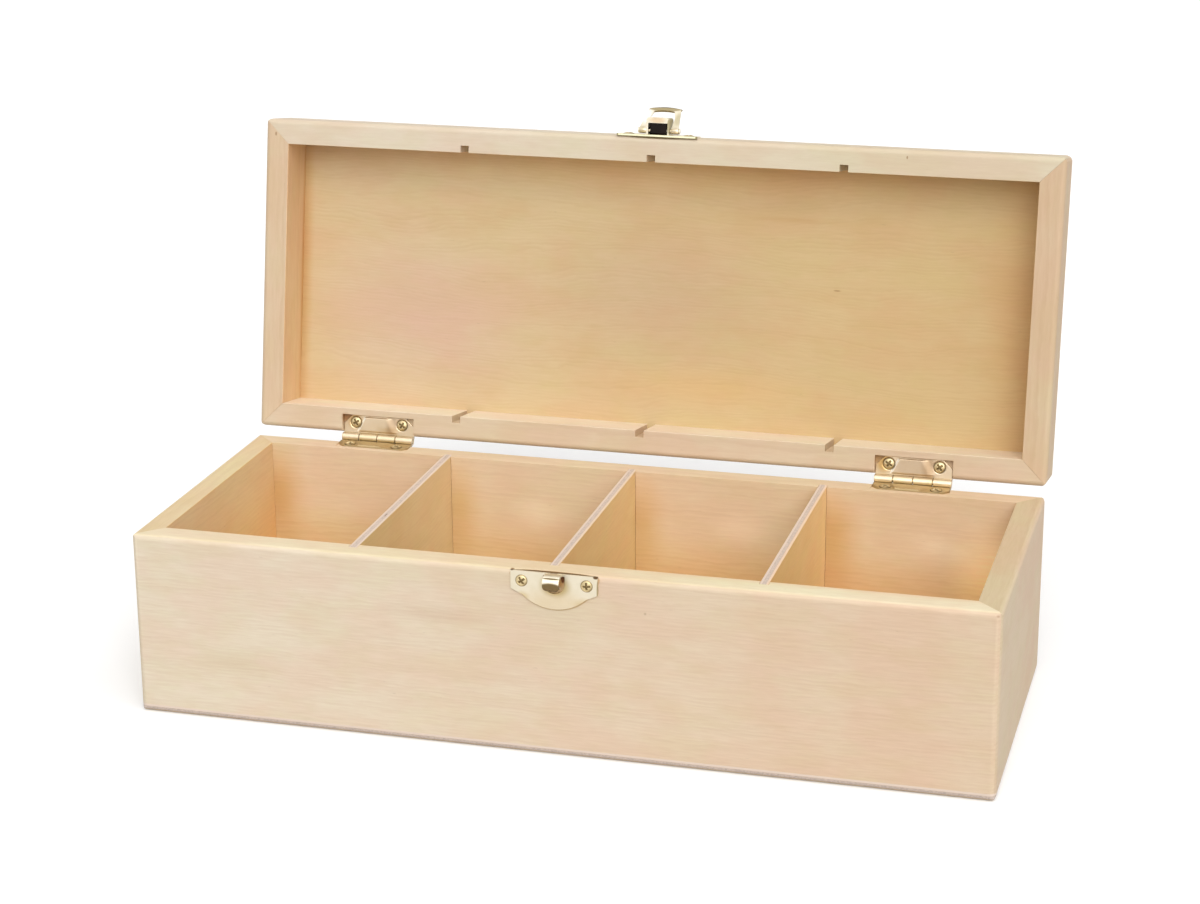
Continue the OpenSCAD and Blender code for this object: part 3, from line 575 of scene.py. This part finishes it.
# Marks on metal, most of them painted light and shade: tint, centre, half sizes, softness
METAL_MARKS_AND_LIGHT = {
    "strike_plate": (
        # darker low at the right and left and on the lower half, the hook's painted shadow round
        # it and painted shade at the right end
        ((0.85, 0.76, 0.56), (12.5, PLATE_Y, 55.5), (5.5, 1, 3.5), 1.0),
        ((0.85, 0.76, 0.56), (-9.0, PLATE_Y, 57.0), (3.5, 1, 2.5), 1.0),
        ((0.94, 0.87, 0.78), (STRIKE_X, PLATE_Y, 55.0), (17, 1, 7.5), 0.8),
        ((0.66, 0.56, 0.32), (2.4, PLATE_Y, 61.6), (6.6, 0.6, 5.0), 0.6),
        ((0.60, 0.55, 0.42), (17.0, PLATE_Y, 60.5), (0.45, 1, 5), 0.3),
        # painted shade and dark reflection along the top edge, and painted shade at its corners
        ((0.24, 0.19, 0.12), (STRIKE_X, FRONT_Y, 66.1), (40, 0.5, 0.35), 0.4),
        ((0.22, 0.15, 0.10), (-12.5, -58.8, 66.0), (0.8, 0.7, 0.5), 0.4),
        ((0.22, 0.15, 0.10), (16.3, -59.1, 65.8), (1.1, 0.8, 0.7), 0.4),
        # painted shade on the hook's upper edge and its underside
        ((0.22, 0.17, 0.10), (STRIKE_X, -62.7, 65.3), (4, 0.6, 0.3), 0.5),
        ((0.25, 0.19, 0.11), (STRIKE_X, -64.0, 61.2), (5.5, 4.3, 3.2), 0.2),
    ),
    "latch_plate": (
        # a painted highlight on the edge between two painted dark lines of shade, and painted
        # shade at the corners
        ((1.12, 1.18, 1.05), (LATCH_X, -59.0, LID_RIM), (40, 0.5, 0.7), 0.3),
        ((0.36, 0.33, 0.2), (LATCH_X, -58.4, LID_RIM), (40, 0.3, 0.7), 0.4),
        ((0.36, 0.33, 0.2), (LATCH_X, -59.4, 66.5), (40, 0.26, 0.5), 0.4),
        ((0.40, 0.36, 0.24), (-13.2, -59.0, 66.5), (0.7, 1.2, 1.2), 0.4),
        ((0.40, 0.36, 0.24), (16.8, -59.0, 66.5), (0.7, 1.2, 1.2), 0.4),
        # painted shade on the housing's right side and on its lip
        ((0.52, 0.50, 0.38), (6.0, -62.5, 70), (0.9, 3.6, 8), 0.3),
        ((0.92, 0.80, 0.70), (1.6, -64.6, 66.5), (4, 1.4, 3), 0.5),
    ),
    "latch_loop": (
        # painted shade on the right leg, painted light on the left leg, painted shade on the
        # cross bar, darkest on its lip, and on the two eyes
        ((0.74, 0.72, 0.62), turned_back(8.0, 89.1, 188.2), (2.2, 5.5, 5.5), 0.6),
        ((1.18, 1.26, 1.5), turned_back(-4.0, 90.1, 188.7), (2.6, 6, 6), 0.6),
        ((0.50, 0.45, 0.32), turned_back(LATCH_X, 94.3, 191.2), (9, 2.1, 2.1), 0.25),
        ((0.34, 0.32, 0.26), turned_back(LATCH_X, 95.5, 191.7), (12, 1.7, 1.7), 0.3),
        ((0.66, 0.58, 0.48), turned_back(8.0, 84.4, 185.6), (2.2, 1.9, 1.9), 0.5),
        ((0.60, 0.55, 0.40), turned_back(-4.4, 84.4, 185.6), (2.2, 1.9, 1.9), 0.5),
    ),
    "left_hinge_lid_leaf": (
        # darker at the left screw and below the panel, painted shade on the right flank and by
        # the pin
        ((0.84, 0.70, 0.46), (-112.0, 54.0, 67.5), (4.5, 4.5, 3), 0.8),
        ((0.82, 0.74, 0.60), (-98.0, 57.0, 67.5), (7, 2.2, 3), 1.0),
        ((0.74, 0.66, 0.60), (-97.0, 55.5, 68.0), (3.4, 6.0, 4), 0.8),
        ((0.42, 0.32, 0.18), turned_back(-HINGE_X, 59.1, 65.9), (16, 0.9, 0.8), 0.6),
    ),
    "right_hinge_lid_leaf": (
        # the dull panel, darker at the left screw, painted shade on the right flank and by the
        # pin
        ((0.80, 0.76, 0.74), (103.2, 55.5, 67.5), (10, 6, 3), 0.4),
        ((0.82, 0.66, 0.38), (91.2, 54.5, 67.5), (4.2, 5.0, 3), 0.7),
        ((0.80, 0.72, 0.64), (107.4, 55.5, 68.0), (3.4, 6.0, 4), 0.8),
        ((0.42, 0.32, 0.18), turned_back(HINGE_X, 59.1, 65.9), (16, 0.9, 0.8), 0.6),
    ),
    "left_hinge_base_leaf": base_leaf_light_and_shade(-HINGE_X),
    "right_hinge_base_leaf": base_leaf_light_and_shade(HINGE_X),
}


def blued_steel(name):
    """Dark spring strip with a faint brown bloom."""
    material, tree, shader = new_material(name)
    place = closed_place(tree, True)
    plating = use_group(tree, PLATING, {"Vector": place, "Seed": 2.0})
    colour = tint(tree, plating["Tarnish"], STEEL_BLUE, STEEL_BROWN)
    tree.links.new(colour, shader["Base Color"])
    rough = calc(tree, "MULTIPLY_ADD", plating["Scuff"], 0.2, 0.3)
    tree.links.new(rough, shader["Roughness"])
    shader["Metallic"].default_value = 0.8
    return material


# ------------------------------------------------------------------ pieces from the frame

# Distances under which corners count as one, and angles for a flat and for a sharp edge
COPY_MERGE, GRID_MERGE, GRID_SLIVER = 0.002 * MM, 0.001 * MM, 0.0001 * MM
FLAT_ANGLE, SHARP_ANGLE = 0.004, math.radians(35)


def soft_copy(node, ease, material):
    """A copy of a CAD piece with its doubles merged, its flat faces joined and every sharp
    edge eased, which stands for the piece and rides on its body."""
    source = frame["nodes"][node]
    mesh = source.data.copy()
    piece = bpy.data.objects.new(node + "_eased", mesh)
    bpy.context.scene.collection.objects.link(piece)
    work = bmesh.new()
    work.from_mesh(mesh)
    bmesh.ops.remove_doubles(work, verts=work.verts, dist=COPY_MERGE)
    bmesh.ops.dissolve_degenerate(work, dist=COPY_MERGE, edges=work.edges)
    bmesh.ops.dissolve_limit(work, angle_limit=FLAT_ANGLE, verts=work.verts, edges=work.edges)
    work.to_mesh(mesh)
    work.free()
    if "custom_normal" in mesh.attributes:
        mesh.attributes.remove(mesh.attributes["custom_normal"])
    mesh.shade_smooth()
    mesh.materials.clear()
    mesh.materials.append(material)
    bevel = piece.modifiers.new("eased_edges", "BEVEL")
    bevel.width = ease * MM
    bevel.segments = 2
    bevel.limit_method = "ANGLE"
    bevel.angle_limit = SHARP_ANGLE
    bevel.use_clamp_overlap = True
    bevel.harden_normals = False
    even = piece.modifiers.new("even_shading", "WEIGHTED_NORMAL")
    even.weight = 60
    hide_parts(node)
    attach(piece, BODY_OF[node])
    return piece


# ------------------------------------------------------------------ pieces worked out as arrays


def quads(rows, columns, wrap_rows=False, wrap_columns=False):
    """Corner numbers of the faces of a grid of points, as an array of four columns."""
    r = np.arange(rows if wrap_rows else rows - 1)
    c = np.arange(columns if wrap_columns else columns - 1)
    r, c = np.meshgrid(r, c, indexing="ij")
    r2, c2 = (r + 1) % rows, (c + 1) % columns
    corners = (r * columns + c, r * columns + c2, r2 * columns + c2, r2 * columns + c)
    return np.stack([corner.ravel() for corner in corners], axis=1)


def build(name, node, shells, material, on_lid, ease_angle=50, detail=None):
    """Makes one piece from shells, each a grid of points in millimetres with its wraps.
    Doubles are merged, then the normals are worked out anew. It stands for the node."""
    points, faces, start = [], [], 0
    for grid, wrap_rows, wrap_columns in shells:
        rows, columns = grid.shape[:2]
        points.append(grid.reshape(-1, 3))
        faces.append(quads(rows, columns, wrap_rows, wrap_columns) + start)
        start += rows * columns
    points = np.concatenate(points)
    if on_lid:
        points = turn_about_pins(points, -OPEN_DEG)
    mesh = bpy.data.meshes.new(name)
    mesh.from_pydata((points * MM).tolist(), [], np.concatenate(faces).tolist())
    if detail is not None:
        layer = mesh.attributes.new("detail", "FLOAT", "POINT")
        layer.data.foreach_set("value", np.concatenate(detail))
    work = bmesh.new()
    work.from_mesh(mesh)
    bmesh.ops.remove_doubles(work, verts=work.verts, dist=GRID_MERGE)
    bmesh.ops.dissolve_degenerate(work, dist=GRID_SLIVER, edges=work.edges)
    bmesh.ops.recalc_face_normals(work, faces=work.faces)
    work.to_mesh(mesh)
    work.free()
    mesh.shade_smooth()
    mesh.set_sharp_from_angle(angle=math.radians(ease_angle))
    mesh.materials.append(material)
    piece = bpy.data.objects.new(name, mesh)
    bpy.context.scene.collection.objects.link(piece)
    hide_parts(node)
    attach(piece, BODY_OF[node])
    return piece


def smooth_step(value, low, high):
    """0 below low, 1 above high, and 3t^2 - 2t^3 between them."""
    t = np.clip((value - low) / (high - low), 0, 1)
    return t * t * (3 - 2 * t)


SCREW_R, SCREW_DOME, SHANK_R, SCREW_LEN, TIP_LEN = 2.1, 0.552, 1.0, 7.0, 1.4
THREAD_PITCH, THREAD_SHARE, THREAD_START = 0.9, 0.22, (1.6, 2.2)
# The crossed recess, and how far from their middle its arms are full and end
RECESS_DEPTH, ARM_WIDE, ARM_LONG = 0.5, (0.22, 0.42), (1.1, 1.45)
# Painted shade round the rim of a screw head and on its lower right
RIM_SHADE, LOW_SHADE = 0.85, 0.8


def screw_points(cross_turn):
    """One screw as a surface of turn angle and profile. The profile runs from the middle
    of the domed head over its rim, down the countersunk neck and the shank to the tip.
    A crossed recess is pressed into the dome, and a helix swells the shank: its radius follows a
    triangle wave of height minus turn. The second array is painted shade: in the recess, round
    the rim and on the head's lower right."""
    turn = np.linspace(0, 2 * math.pi, 72, endpoint=False)
    r = np.concatenate([np.linspace(0, SCREW_R - 0.1, 26), [SCREW_R - 0.03, SCREW_R]])
    z = PLATE_T + SCREW_DOME * (1 - (r / SCREW_R) ** 2)
    z[-2:] += (0.02, -0.04)
    neck_r = np.array([SCREW_R - 0.04, SCREW_R - PLATE_T, SHANK_R])
    neck_z = np.array([PLATE_T - 0.08, 0.0, -0.25])
    shank_z = np.linspace(-0.4, TIP_LEN - SCREW_LEN, 60)
    shank_r = np.full(shank_z.shape, SHANK_R)
    tip_z = np.linspace(TIP_LEN - SCREW_LEN, -SCREW_LEN, 10)[1:]
    tip_r = SHANK_R * (tip_z + SCREW_LEN) / TIP_LEN
    r = np.concatenate([r, neck_r, shank_r, tip_r])
    z = np.concatenate([z, neck_z, shank_z, tip_z])
    r, turn = np.meshgrid(r, turn, indexing="ij")
    z = np.repeat(z[:, None], turn.shape[1], axis=1)
    swell = np.abs(((z / THREAD_PITCH - turn / (2 * math.pi)) % 1.0) * 2 - 1)
    threaded = smooth_step(-z, *THREAD_START)
    r = r * (1 - THREAD_SHARE * threaded * swell)
    a, b = r * np.cos(turn - cross_turn), r * np.sin(turn - cross_turn)
    arms = np.zeros_like(r)
    for along, across in ((a, b), (b, a)):
        arm = 1 - smooth_step(np.abs(across), *ARM_WIDE)
        arms = np.maximum(arms, arm * (1 - smooth_step(np.abs(along), *ARM_LONG)))
    head = (z > PLATE_T - 0.1).astype(float)
    z = z - RECESS_DEPTH * arms * (z > PLATE_T)
    low_right = r * np.cos(turn + math.pi / 4) / SCREW_R
    shade = np.maximum(arms, RIM_SHADE * smooth_step(r, SCREW_R - 0.4, SCREW_R - 0.1))
    shade = np.maximum(shade, LOW_SHADE * smooth_step(low_right, 0.5, 0.9)) * head
    return np.stack([r * np.cos(turn), r * np.sin(turn), z], axis=-1), shade


def screws(node, middles, facing, material, on_lid, turns):
    """Two screws of one node. facing says where the heads look: up, down or front."""
    axes = {
        "up": np.array([[1, 0, 0], [0, 1, 0], [0, 0, 1]]),
        "down": np.array([[1, 0, 0], [0, -1, 0], [0, 0, -1]]),
        "front": np.array([[1, 0, 0], [0, 0, -1], [0, 1, 0]]),
    }[facing]
    shells, shades = [], []
    for middle, cross_turn in zip(middles, turns):
        points, shade = screw_points(math.radians(cross_turn))
        shells.append((points @ axes.T + np.array(middle), False, True))
        shades.append(shade.ravel())
    return build(node + "_turned", node, shells, material, on_lid, detail=shades)


BARREL_R, LEAF_T, LEAF_FAR, LEAF_CUT = 1.6, 0.8, 8.4, 3.4
HINGE_W, OUTER_KNUCKLE, INNER_KNUCKLE, KNUCKLE_GAP = 28.0, 6.6, 6.95, 0.3
SCREW_SPAN, SCREW_FROM_PIN = 18.4, 5.6
# The sheet's near edge above and below, and the eased top edge: its drop and width
LEAF_NEAR, LEAF_NEAR_LOW, LEAF_DROP, LEAF_EASE = 1.5, 0.75, 0.1, 0.14
# The panel's rise, half width at the pin and slant, the widths of its left and right flanks,
# where it rises and falls again away from the pin, and the dish round a screw
PANEL_RISE, PANEL_HALF, PANEL_SLANT, LEFT_FLANK, RIGHT_FLANK = 0.33, 9.7, 0.5, 0.7, 3.6
PANEL_START, PANEL_END = (2.0, 2.7), (7.4, 8.05)
DISH_DEPTH, DISH_IN, DISH_OUT = 0.3, 1.9, 2.5
# The painted highlight on the crease: across the panel's left side and along it
CREASE_IN, CREASE_OUT, CREASE_START, CREASE_END = (-0.25, 0.1), (0.5, 0.9), (1.9, 2.4), (7.3, 7.9)
# How far a knuckle is rolled, its eased ends and the play that keeps it off the sheet
ROLL_DEG, KNUCKLE_EASE, ROLL_PLAY = 291, 0.12, 0.02


def leaf_sheet():
    """The flat part of a hinge leaf as two height fields over its outline, in x, distance from
    the pin and height above the seat. The upper field is the sheet's thickness plus a pressed
    panel whose flanks are smooth steps of the distance to its slanted sides, and it dips to a
    dish round each screw. The near edge follows the barrel. The last array is a painted highlight
    on the crease along the panel's left side."""
    half = HINGE_W / 2
    x = np.concatenate([[-half, -half + 0.12], np.linspace(-half + 0.3, half - 0.3, 180),
                        [half - 0.12, half]])
    share = np.concatenate([[0, 0.015], np.linspace(0.04, 0.96, 56), [0.985, 1]])
    x, share = np.meshgrid(x, share, indexing="ij")
    far = LEAF_FAR - np.maximum(0, np.abs(x) - (half - LEAF_CUT))
    d = LEAF_NEAR + share * (far - LEAF_NEAR)
    edge = np.minimum(np.minimum(half - np.abs(x), far - d), d - LEAF_NEAR)
    top = LEAF_T - LEAF_DROP * (1 - smooth_step(edge, 0.0, LEAF_EASE))
    side = PANEL_HALF - d * PANEL_SLANT - np.abs(x)
    flank = np.where(x < 0, LEFT_FLANK, RIGHT_FLANK)
    panel = smooth_step(side, 0.0, flank) * smooth_step(d, *PANEL_START)
    panel = panel * (1 - smooth_step(d, *PANEL_END))
    top = top + PANEL_RISE * panel
    for s in (-1, 1):
        from_screw = np.hypot(x - s * SCREW_SPAN / 2, d - SCREW_FROM_PIN)
        top = top - DISH_DEPTH * (1 - smooth_step(from_screw, DISH_IN, DISH_OUT))
    upper = np.stack([x, d, top], axis=-1)
    # painted highlight along the crease on the panel's left side
    crease_highlight = smooth_step(side, *CREASE_IN) * (1 - smooth_step(side, *CREASE_OUT)) * (x < 0)
    crease_highlight = crease_highlight * smooth_step(d, *CREASE_START) * (1 - smooth_step(d, *CREASE_END))
    low_d = LEAF_NEAR_LOW + share * (far - LEAF_NEAR_LOW)
    lower = np.stack([x, low_d, np.zeros_like(x)], axis=-1)
    walls = []
    for upper_side, lower_side in (
        (upper[0], lower[0]), (upper[-1], lower[-1]), (upper[:, 0], lower[:, 0]),
        (upper[:, -1], lower[:, -1]),
    ):
        walls.append((np.stack([upper_side, lower_side]), False, False))
    return [(upper, False, False), (lower, False, False)] + walls, crease_highlight


def knuckle(start, length):
    """A knuckle rolled from the leaf's sheet: the sheet's section runs straight to below
    the pin, then turns round the pin at the barrel's outer and the pin's inner radius, and
    this closed profile is carried along x. Its ends are the strip between the two lines."""
    straight = np.array([1.75, 1.2, 0.6])
    angle = np.radians(np.linspace(0, ROLL_DEG, 44))
    inner_r = BARREL_R - LEAF_T
    outer = np.concatenate([
        np.stack([straight, np.full(3, ROLL_PLAY)], axis=1),
        np.stack([-BARREL_R * np.sin(angle), BARREL_R * (1 - np.cos(angle))], axis=1),
    ])
    inner = np.concatenate([
        np.stack([straight, np.full(3, LEAF_T - ROLL_PLAY)], axis=1),
        np.stack([-inner_r * np.sin(angle), BARREL_R - inner_r * np.cos(angle)], axis=1),
    ])
    centre = (outer + inner) / 2
    profile = np.concatenate([outer, inner[::-1]])
    middle = np.concatenate([centre, centre[::-1]])
    end = start + length
    stations = [(start, KNUCKLE_EASE), (start + KNUCKLE_EASE, 0.0)]
    stations += [(end - KNUCKLE_EASE, 0.0), (end, KNUCKLE_EASE)]
    rings = []
    for x, inset in stations:
        away = middle - profile
        reach = np.linalg.norm(away, axis=1, keepdims=True)
        ring = profile + away / reach * inset
        rings.append(np.column_stack([np.full(len(ring), x), ring]))
    body = np.stack(rings)
    count = len(outer)
    caps = []
    for ring in (body[0], body[-1]):
        caps.append((np.stack([ring[:count], ring[count:][::-1]]), False, False))
    return [(body, False, True)] + caps


def hinge_leaf(node, hinge_x, own_knuckles, length, material, on_lid):
    """A hinge leaf: pressed sheet and rolled knuckles, from (x, distance, height) to the
    closed box. The lid's leaf lies upside down above the pin."""
    shells, crease_highlight = leaf_sheet()
    for start in own_knuckles:
        shells += knuckle(start, length)
    # the lid's leaf carries the painted highlight on its crease
    painted_highlight = [np.zeros(grid.shape[0] * grid.shape[1]) for grid, _, _ in shells]
    if on_lid:
        painted_highlight[0] = crease_highlight.ravel()
    placed = []
    for grid, wrap_rows, wrap_columns in shells:
        x, d, h = grid[..., 0], grid[..., 1], grid[..., 2]
        z = AXIS_Z + (BARREL_R - h if on_lid else h - BARREL_R)
        placed.append((np.stack([x + hinge_x, AXIS_Y - d, z], axis=-1), wrap_rows, wrap_columns))
    return build(node + "_pressed", node, placed, material, on_lid, 40, painted_highlight)


# ------------------------------------------------------------------ boards and sheets

BOARDS = {
    # node: run of the grain, pith, ring width, wave, seed, colours at its two ends, the tint of
    # painted light and shade on its inner face and, if not the usual, the depths of rings and
    # fibres
    "base_front_wall": (
        "X", (0, 30, -150), 1.25, 7, 1.0,
        (0.748, 0.652, 0.507), (0.718, 0.565, 0.404), (1.06, 1.0, 0.82), 0.13, 0.23,
    ),
    "base_back_wall": (
        "X", (0, -40, -160), 1.8, 10, 2.0,
        (0.77, 0.625, 0.44), (0.75, 0.60, 0.405), (1.01, 1.0, 0.97),
    ),
    "base_left_wall": (
        "Y", (0, 60, -120), 1.9, 9, 3.0,
        (0.72, 0.60, 0.40), (0.72, 0.58, 0.38), (1.3, 1.12, 0.78),
    ),
    "base_right_wall": (
        "Y", (0, -60, 190), 1.8, 9, 4.0,
        (0.67, 0.54, 0.38), (0.66, 0.52, 0.36), (1.1, 1.04, 0.84),
    ),
    "lid_front_rail": (
        "X", (0, -50, -30), 1.7, 7, 5.0,
        (0.687, 0.60, 0.47), (0.653, 0.57, 0.415), (1.0, 0.94, 0.80),
    ),
    "lid_back_rail": (
        "X", (0, -20, -20), 2.2, 12, 6.0,
        (0.68, 0.56, 0.405), (0.655, 0.525, 0.37), (1.33, 1.45, 1.58),
    ),
    "lid_left_rail": (
        "Y", (0, 60, 0), 1.8, 7, 7.0,
        (0.655, 0.51, 0.345), (0.665, 0.525, 0.355), (1.18, 1.08, 0.92),
    ),
    "lid_right_rail": (
        "Y", (0, -60, 160), 2.0, 8, 8.0,
        (0.613, 0.465, 0.305), (0.625, 0.485, 0.32), (1.05, 1.02, 0.86),
    ),
}
BOARD_EASE, SHEET_EASE, PLATE_EASE, WIRE_EASE, SPRING_EASE = 0.15, 0.12, 0.16, 0.1, 0.04
for node, facts in BOARDS.items():
    soft_copy(node, BOARD_EASE, board_wood(node + "_wood", node, *facts))

VENEER = (0.80, 0.62, 0.37)
soft_copy(
    "lid_top_panel",
    SHEET_EASE,
    plywood(
        "lid_veneer", "lid_top_panel", "X", 2, PANEL_Z, (0, -220, 60), 1.3, 34, 9.0,
        (0.655, 0.51, 0.30), (0.614, 0.45, 0.224),
    ),
)
soft_copy(
    "bottom_panel",
    SHEET_EASE,
    plywood(
        "bottom_veneer", "bottom_panel", "X", 2, 0.0, (0, 240, -40), 1.4, 30, 10.0,
        VENEER, VENEER,
    ),
)
DIVIDER_VENEER = (0.74, 0.55, 0.27)
DIVIDER_BACK = (0.83, 0.66, 0.38)
for number, node in enumerate(("divider_left", "divider_middle", "divider_right")):
    low = (number - 1) * DIVIDER_PITCH - PLY_T / 2
    soft_copy(
        node,
        SHEET_EASE,
        plywood(
            node + "_veneer", node, "Y", 0, low, (0, 60, -180), 1.5, 20, 11.0 + number,
            DIVIDER_VENEER, DIVIDER_BACK,
        ),
    )

# ------------------------------------------------------------------ hardware

HINGE_CLEAN, HINGE_DARK = (0.70, 0.58, 0.42), (0.55, 0.42, 0.22)
# the base leaves: the same brass as the lid leaves, darker as painted shade
SHADED_LEAF_CLEAN, SHADED_LEAF_DARK = (0.56, 0.44, 0.25), (0.42, 0.31, 0.13)
LATCH_CLEAN, LATCH_DARK = (0.74, 0.67, 0.53), (0.62, 0.54, 0.36)
SCREW_CLEAN, SCREW_DARK = (0.66, 0.54, 0.32), (0.42, 0.32, 0.14)
HINGE_ROUGH, SCREW_ROUGH, PIN_ROUGH, LATCH_ROUGH = 0.38, 0.42, 0.3, 0.34
BASE_MORTISE, LID_MORTISE, HINGE_SCREW_Y = 0.55, 2.35, 54.7
PLATE_SCREW_SPAN, PLATE_SCREW_FROM_RIM = 22.4, 3.5

for side, hinge_x in (("left", -HINGE_X), ("right", HINGE_X)):
    seed = 1.0 if side == "left" else 4.0
    for part, starts, length, on_lid in (
        ("base", (-INNER_KNUCKLE - KNUCKLE_GAP / 2, KNUCKLE_GAP / 2), INNER_KNUCKLE, False),
        ("lid", (-HINGE_W / 2, HINGE_W / 2 - OUTER_KNUCKLE), OUTER_KNUCKLE, True),
    ):
        node = f"{side}_hinge_{part}_leaf"
        clean, dark = (HINGE_CLEAN, HINGE_DARK) if on_lid else (SHADED_LEAF_CLEAN, SHADED_LEAF_DARK)
        crease_highlight = CREASE_HIGHLIGHT_TINT if on_lid else None
        metal = brass(node + "_brass", node, clean, dark, HINGE_ROUGH, seed, detail=crease_highlight)
        hinge_leaf(node, hinge_x, starts, length, metal, on_lid)
        node = f"{side}_hinge_{part}_screws"
        seat = LID_RIM + LID_MORTISE if on_lid else BASE_H - BASE_MORTISE
        middles = [(hinge_x + s * SCREW_SPAN / 2, HINGE_SCREW_Y, seat) for s in (-1, 1)]
        metal = brass(node + "_brass", node, SCREW_CLEAN, SCREW_DARK, SCREW_ROUGH, seed + 1,
                      detail=PAINTED_SCREW_SHADE)
        facing = "down" if on_lid else "up"
        screws(node, middles, facing, metal, on_lid, (20 + 10 * seed, 65 - 7 * seed))
    node = f"{side}_hinge_pin"
    metal = brass(node + "_brass", node, SCREW_CLEAN, SCREW_DARK, PIN_ROUGH, 3.0)
    soft_copy(node, WIRE_EASE, metal)

for name, middle, screw_z, on_lid in (
    ("strike", STRIKE_X, BASE_H - PLATE_SCREW_FROM_RIM, False),
    ("latch", LATCH_X, LID_RIM + PLATE_SCREW_FROM_RIM, True),
):
    node = name + "_screws"
    middles = [(middle + s * PLATE_SCREW_SPAN / 2, FRONT_Y, screw_z) for s in (-1, 1)]
    metal = brass(node + "_brass", node, SCREW_CLEAN, SCREW_DARK, SCREW_ROUGH, 5.0, detail=PAINTED_SCREW_SHADE)
    screws(node, middles, "front", metal, on_lid, (35, 5))
    node = name + "_plate"
    metal = brass(node + "_brass", node, LATCH_CLEAN, LATCH_DARK, LATCH_ROUGH, 6.0)
    soft_copy(node, PLATE_EASE, metal)
for node in ("latch_loop", "latch_pin"):
    metal = brass(node + "_brass", node, LATCH_CLEAN, LATCH_DARK, LATCH_ROUGH, 7.0)
    soft_copy(node, WIRE_EASE, metal)
soft_copy("latch_spring", SPRING_EASE, blued_steel("latch_spring_steel"))

# ------------------------------------------------------------------ studio

scene = bpy.context.scene
scene.view_settings.view_transform = "Standard"

FLOOR_HALF, FLOOR_GLOW = 8.0, 0.08
SHADE_LIGHT, WHITE_LIGHT = 0.4, 1.0
mesh = bpy.data.meshes.new("floor")
corners = [(-FLOOR_HALF, -FLOOR_HALF), (FLOOR_HALF, -FLOOR_HALF)]
corners += [(FLOOR_HALF, FLOOR_HALF), (-FLOOR_HALF, FLOOR_HALF)]
mesh.from_pydata([(x, y, 0.0) for x, y in corners], [], [(0, 1, 2, 3)])
floor = bpy.data.objects.new("floor", mesh)
scene.collection.objects.link(floor)


def seen_directly(tree):
    """1 for rays from the camera and for those that metal or glass sends on, else 0."""
    path = put(tree, "LightPath").outputs
    seen = calc(tree, "MAXIMUM", path["Is Camera Ray"], path["Is Glossy Ray"])
    return calc(tree, "MAXIMUM", seen, path["Is Transmission Ray"])


material, tree, shader = new_material("floor_white")
grey, white = (0.55, 0.55, 0.55), (0.97, 0.97, 0.97)
tree.links.new(tint(tree, seen_directly(tree), grey, white), shader["Base Color"])
shader["Roughness"].default_value = 0.9
shader["Specular IOR Level"].default_value = 0.0
shader["Emission Color"].default_value = (1, 1, 1, 1)
glow = calc(tree, "MULTIPLY", seen_directly(tree), FLOOR_GLOW)
tree.links.new(glow, shader["Emission Strength"])
mesh.materials.append(material)

world = bpy.data.worlds.new("studio")
scene.world = world
world.use_nodes = True
tree = world.node_tree
tree.nodes.clear()
more = WHITE_LIGHT - SHADE_LIGHT
level = calc(tree, "MULTIPLY_ADD", seen_directly(tree), more, SHADE_LIGHT)
background = put(tree, "Background", {"Color": (1, 1, 1, 1), "Strength": level})
output = tree.nodes.new("ShaderNodeOutputWorld")
tree.links.new(background.outputs[0], output.inputs[0])


def sun(name, azimuth, elevation, strength, spread):
    """A soft distant lamp. Azimuth is where it stands, from the front (-Y) to the right."""
    lamp = bpy.data.lights.new(name, "SUN")
    lamp.energy = strength
    lamp.angle = math.radians(spread)
    holder = bpy.data.objects.new(name, lamp)
    a, e = math.radians(azimuth), math.radians(elevation)
    to_lamp = Vector((math.sin(a) * math.cos(e), -math.cos(a) * math.cos(e), math.sin(e)))
    holder.rotation_euler = to_lamp.to_track_quat("Z", "Y").to_euler()
    scene.collection.objects.link(holder)


sun("key_softbox", 14, 34, 1.75, 45)
sun("top_softbox", 10, 80, 0.8, 70)
sun("side_softbox", 68, 38, 0.75, 70)

# ------------------------------------------------------------------ camera

CAMERA_PLACE = Vector((0.2405, -0.86662, 0.38447))
CAMERA_AZ, CAMERA_EL, CAMERA_ROLL = (math.radians(a) for a in (-15.3997, -18.1777, -0.3908))
FOCAL_PX, IMAGE_W, SENSOR = 2725.24, 1200, 36.0

ahead = Vector(
    (
        math.sin(CAMERA_AZ) * math.cos(CAMERA_EL),
        math.cos(CAMERA_AZ) * math.cos(CAMERA_EL),
        math.sin(CAMERA_EL),
    )
)
level_right = Vector((math.cos(CAMERA_AZ), -math.sin(CAMERA_AZ), 0.0))
level_up = level_right.cross(ahead)
right = math.cos(CAMERA_ROLL) * level_right + math.sin(CAMERA_ROLL) * level_up
up = -math.sin(CAMERA_ROLL) * level_right + math.cos(CAMERA_ROLL) * level_up
lens = bpy.data.cameras.new("photo_camera")
lens.sensor_fit = "HORIZONTAL"
lens.sensor_width = SENSOR
lens.lens = FOCAL_PX * SENSOR / IMAGE_W
lens.clip_start = 0.01
camera = bpy.data.objects.new("photo_camera", lens)
turn = Matrix((right, up, -ahead)).transposed().to_4x4()
camera.matrix_world = Matrix.Translation(CAMERA_PLACE) @ turn
scene.collection.objects.link(camera)
scene.camera = camera

bpy.context.view_layer.update()
